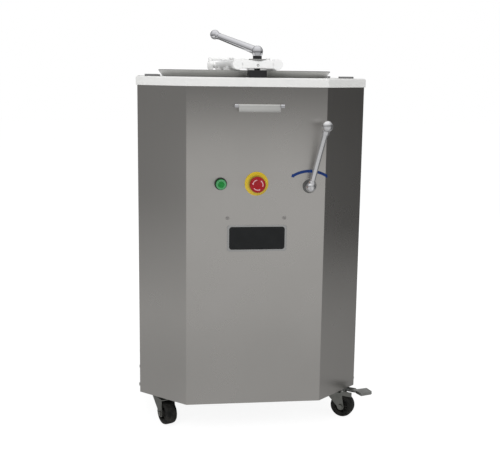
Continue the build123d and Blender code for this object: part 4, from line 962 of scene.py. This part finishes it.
def cross_head(radius, height):
    """A domed screw head with a cross recess, standing on its seat at Z 0."""
    bm = bmesh.new()
    half = top_share * radius
    bmesh.ops.create_grid(bm, x_segments=6, y_segments=6, size=half)
    bmesh.ops.translate(bm, verts=bm.verts, vec=(0, 0, height))
    cross = []
    for face in bm.faces:
        middle = face.calc_center_median()
        near, far = sorted((abs(middle.x) / half, abs(middle.y) / half))
        if near < recess_half and far < recess_reach:
            cross.append(face)
    pushed = bmesh.ops.extrude_face_region(bm, geom=cross)["geom"]
    bmesh.ops.translate(bm, verts=new_verts(pushed), vec=(0, 0, -recess_depth * height))
    bmesh.ops.delete(bm, geom=cross, context="FACES_ONLY")
    for share, level in head_dome:
        edges = [edge for edge in bm.edges if edge.is_boundary]
        grown = bmesh.ops.extrude_edge_only(bm, edges=edges)["geom"]
        for vert in new_verts(grown):
            out = vert.co.xy.normalized() * radius * share
            vert.co = (out.x, out.y, level * height)
    bmesh.ops.recalc_face_normals(bm, faces=bm.faces)
    return bm


add_finish("dark_screw", (0.52, 0.505, 0.49), 0.40, metal=1.0, shade=0.15, patch=60.0, patch_rough=0.10,
           bump=0.005)
heads = []
for low, high in solid_boxes("panel_screws"):
    middle = (low + high) / 2
    if high.x > sheet_half:
        seat, axis = (sheet_half, middle.y, middle.z), (1, 0, 0)
    elif low.x < -sheet_half:
        seat, axis = (-sheet_half, middle.y, middle.z), (-1, 0, 0)
    elif high.y > sheet_half:
        seat, axis = (middle.x, sheet_half, middle.z), to_rear
    else:
        seat, axis = (middle.x, -sheet_half, middle.z), to_front
    head = sit(cross_head(screw_radius, screw_height), seat, axis)
    for face in head.faces:
        face.material_index = int(axis == to_front)
    heads.append(head)
piece("screw_heads", joined(*heads), "cabinet", "plain_steel", ("panel_screws",), (finishes["dark_screw"],))

# %% [markdown]
# The lid's arms are bolted to the pan through saddles, and the hinge bracket to the table. Their hexagon
# heads get a chamfer and a washer face.

# %% Bolts
bolt_hex_radius, bolt_hex_height, bolt_chamfer = 6.0, 4.4, 0.7
bolt_face_radius, bolt_face_height, bolt_face_step = 5.6, 0.8, 0.6
bolt_shank_radius = 3.0


def plain_rod(radius, length, steps):
    return turned([(0, 0), (radius, 0), (radius, length), (0, length)], steps)


def bolt(box):
    """A bolt with a chamfered hexagon head, from the box of its CAD solid."""
    low, high = box
    x, y = ((low + high) / 2).xy
    foot = high.z - bolt_hex_height
    seat = foot - bolt_face_step
    head = sit(hexagon(bolt_hex_radius, bolt_hex_height, bolt_chamfer), (x, y, foot))
    face = sit(plain_rod(bolt_face_radius, bolt_face_height, 32), (x, y, seat))
    shank = sit(plain_rod(bolt_shank_radius, seat - low.z, 24), (x, y, low.z))
    return joined(head, face, shank)


arm_bolts = joined(*[bolt(box) for box in solid_boxes("saddle_bolts")])
piece("arm_bolts", arm_bolts, "lid", "white_frame", ("saddle_bolts",))
bracket_bolts = joined(*[bolt(box) for box in solid_boxes("hinge_screws")])
piece("bracket_bolts", bracket_bolts, "cabinet", "plain_steel", ("hinge_screws",))

# %% [markdown]
# Each caster wheel has a rubber tyre on a moulded hub. The tyre is a ring profile with round shoulders and a
# groove in each side wall. The hub has a rim, a thin web, a boss and six ribs.

# %% Caster wheels
tyre_side = [(20.7, 15.3), (23.6, 15.5), (24.0, 14.8), (25.0, 14.8), (25.4, 15.8), (27.2, 15.5), (29.2, 14.4)]
tyre_side += [(30.6, 12.4), (31.4, 9.5), (31.75, 6.0)]
tyre_profile = tyre_side + [(r, -h) for r, h in reversed(tyre_side)]
hub_side = [(4.3, 16.9), (8.2, 16.9), (9.0, 16.1), (9.4, 7.0), (10.2, 6.4), (16.6, 6.4), (17.6, 7.0)]
hub_side += [(18.2, 13.0), (18.9, 13.9), (20.8, 13.9)]
wheel_hub_profile = hub_side + [(r, -h) for r, h in reversed(hub_side)]
rib_count, rib_round = 6, 0.5
rib_low, rib_high = (8.6, -1.2, -12.0), (18.4, 1.2, 12.0)

for corner_name in ("front_left", "front_right", "rear_left", "rear_right"):
    place = joint_place(f"{corner_name}_roll")
    axis = joints[f"{corner_name}_roll"]["axis"]
    tyre = sit(turned(tyre_profile, 96, closed=True), place, axis)
    ribs = []
    for index in range(rib_count):
        rib = slab(rib_low, rib_high, rib_round)
        rib_turn = Matrix.Rotation(index * 2 * math.pi / rib_count, 3, "Z")
        bmesh.ops.rotate(rib, verts=rib.verts, matrix=rib_turn)
        ribs.append(rib)
    hub = sit(joined(turned(wheel_hub_profile, 64, closed=True), *ribs), place, axis)
    piece(f"{corner_name}_tyre", tyre, f"{corner_name}_tread", "wheel_black", (f"{corner_name}_wheel",))
    piece(f"{corner_name}_hub", hub, f"{corner_name}_tread", "wheel_black")

# %% [markdown]
# A blue film on the sheet shows the two ways the control lever turns: an arc with a head at each end. It is a
# flat arrow spun round the arc's centre, given the thickness of a film and bent with the sheet at its corner.

# %% Lever arc
arc_aside, arc_drop = 0.5, 44.2
arc_radius, arc_width, arc_film = 82.4, 7.0, 0.3
arc_start, arc_sweep = 57.9, 62.5
arc_head, arc_flare = 6.5, 0.8
corner_x, chamfer_back, chamfer_side = 175.0, 105.0, 119.0
corner_turn = math.atan2(chamfer_back, chamfer_side)
add_finish("arc_blue", (0.005, 0.032, 0.165), 0.45, bump=0.004, edge=0.2, mirror=0.3)
arc = arc_arrow(arc_radius, arc_width, arc_start, arc_sweep, arc_head, flare=arc_flare, both_ends=True,
                thickness=arc_film, steps=32)
sit(arc, (control_hub.x - arc_aside, front_y, control_hub.z - arc_drop), to_front)
whole_arc = arc.verts[:] + arc.edges[:] + arc.faces[:]
bmesh.ops.bisect_plane(arc, geom=whole_arc, plane_co=(corner_x, 0, 0), plane_no=(1, 0, 0), dist=merge_gap)
for vert in arc.verts:
    past = vert.co.x - corner_x
    if past > 0:
        lift = front_y - vert.co.y
        vert.co.x = corner_x + past * math.cos(corner_turn) + lift * math.sin(corner_turn)
        vert.co.y = front_y + past * math.sin(corner_turn) - lift * math.cos(corner_turn)
made = piece("lever_arc", arc, "cabinet", "arc_blue")

# %% [markdown]
# The supply cable enters through a gland low on the rear panel. It has a hexagon body, a domed nut with its
# own hexagon, and an open bore, since no cable is fitted.

# %% Cable gland
gland_middle = node_box("cable_gland")[1]
gland_place = (gland_middle.x, sheet_half, gland_middle.z)
gland_profile = [(5.0, -17.5), (10.0, -17.5), (10.0, 0), (12.6, 0), (12.6, 1.0), (9.6, 1.4), (9.6, 8.0)]
gland_profile += [(10.8, 8.4), (10.8, 15.6), (10.0, 17.8), (8.0, 19.5), (6.0, 20.0), (5.0, 19.4)]
gland_body = turned(gland_profile, 48, closed=True)


def hex_ring(radius, bore, low, high):
    """A hexagon nut with a round bore, between two heights."""
    bm = bmesh.new()
    bmesh.ops.create_circle(bm, segments=6, radius=radius)
    bmesh.ops.create_circle(bm, segments=36, radius=bore)
    bmesh.ops.bridge_loops(bm, edges=bm.edges[:])
    raised = bmesh.ops.extrude_face_region(bm, geom=bm.faces[:])["geom"]
    bmesh.ops.translate(bm, verts=bm.verts, vec=(0, 0, low))
    bmesh.ops.translate(bm, verts=new_verts(raised), vec=(0, 0, high - low))
    bmesh.ops.recalc_face_normals(bm, faces=bm.faces)
    return bm


gland_nuts = [hex_ring(14.0, 9.4, 0.6, 6.4), hex_ring(12.4, 9.4, 8.6, 14.4), hex_ring(14.0, 9.8, -8.5, -1.6)]
gland = sit(joined(gland_body, *gland_nuts), gland_place, to_rear)
piece("gland", gland, "cabinet", "switch_plastic", ("cable_gland",))

# %% [markdown]
# The rear panel's slots are louvres: the press that cuts each slot also pushes its upper edge out into a
# hood. One hood is a grid bulged outwards and thickened, and the rows repeat it.

# %% Louvre hoods
louvre_x = (-70.0, 70.0)
louvre_rows, louvre_pitch = 9, 16.0
louvre_rise = 211.0
louvre_first_z = node_box("base_plate")[2].z + louvre_rise
hood_half, hood_drop, hood_out, hood_sheet = 43.0, 10.0, 4.6, 0.9
hood_rise, hood_sink, hood_squareness = 6.5, 0.1, 6
hood_turn = Matrix(((-1, 0, 0, 0), (0, 0, 1, 0), (0, 1, 0, 0), (0, 0, 0, 1)))


def louvre_hood():
    """One hood in the X and Y plane, bulging along Z, with its open edge at the lowest Y."""
    bm = bmesh.new()
    bmesh.ops.create_grid(bm, x_segments=16, y_segments=5, size=1.0)
    for vert in bm.verts:
        along, down = vert.co.x, (1.0 - vert.co.y) / 2
        bulge = (1.0 - abs(along) ** hood_squareness) * math.sin(down * math.pi / 2)
        vert.co = (along * hood_half, hood_rise - down * hood_drop, hood_out * bulge)
    bmesh.ops.recalc_face_normals(bm, faces=bm.faces)
    bmesh.ops.solidify(bm, geom=bm.faces[:], thickness=hood_sheet)
    bmesh.ops.recalc_face_normals(bm, faces=bm.faces)
    return bm


hoods = []
for x in louvre_x:
    for row in range(louvre_rows):
        stand = Matrix.Translation((x, sheet_half - hood_sink, louvre_first_z + row * louvre_pitch))
        hood = louvre_hood()
        bmesh.ops.transform(hood, matrix=stand @ hood_turn, verts=hood.verts)
        hoods.append(hood)
piece("louvre_hoods", joined(*hoods), "cabinet", "stainless_sheet")
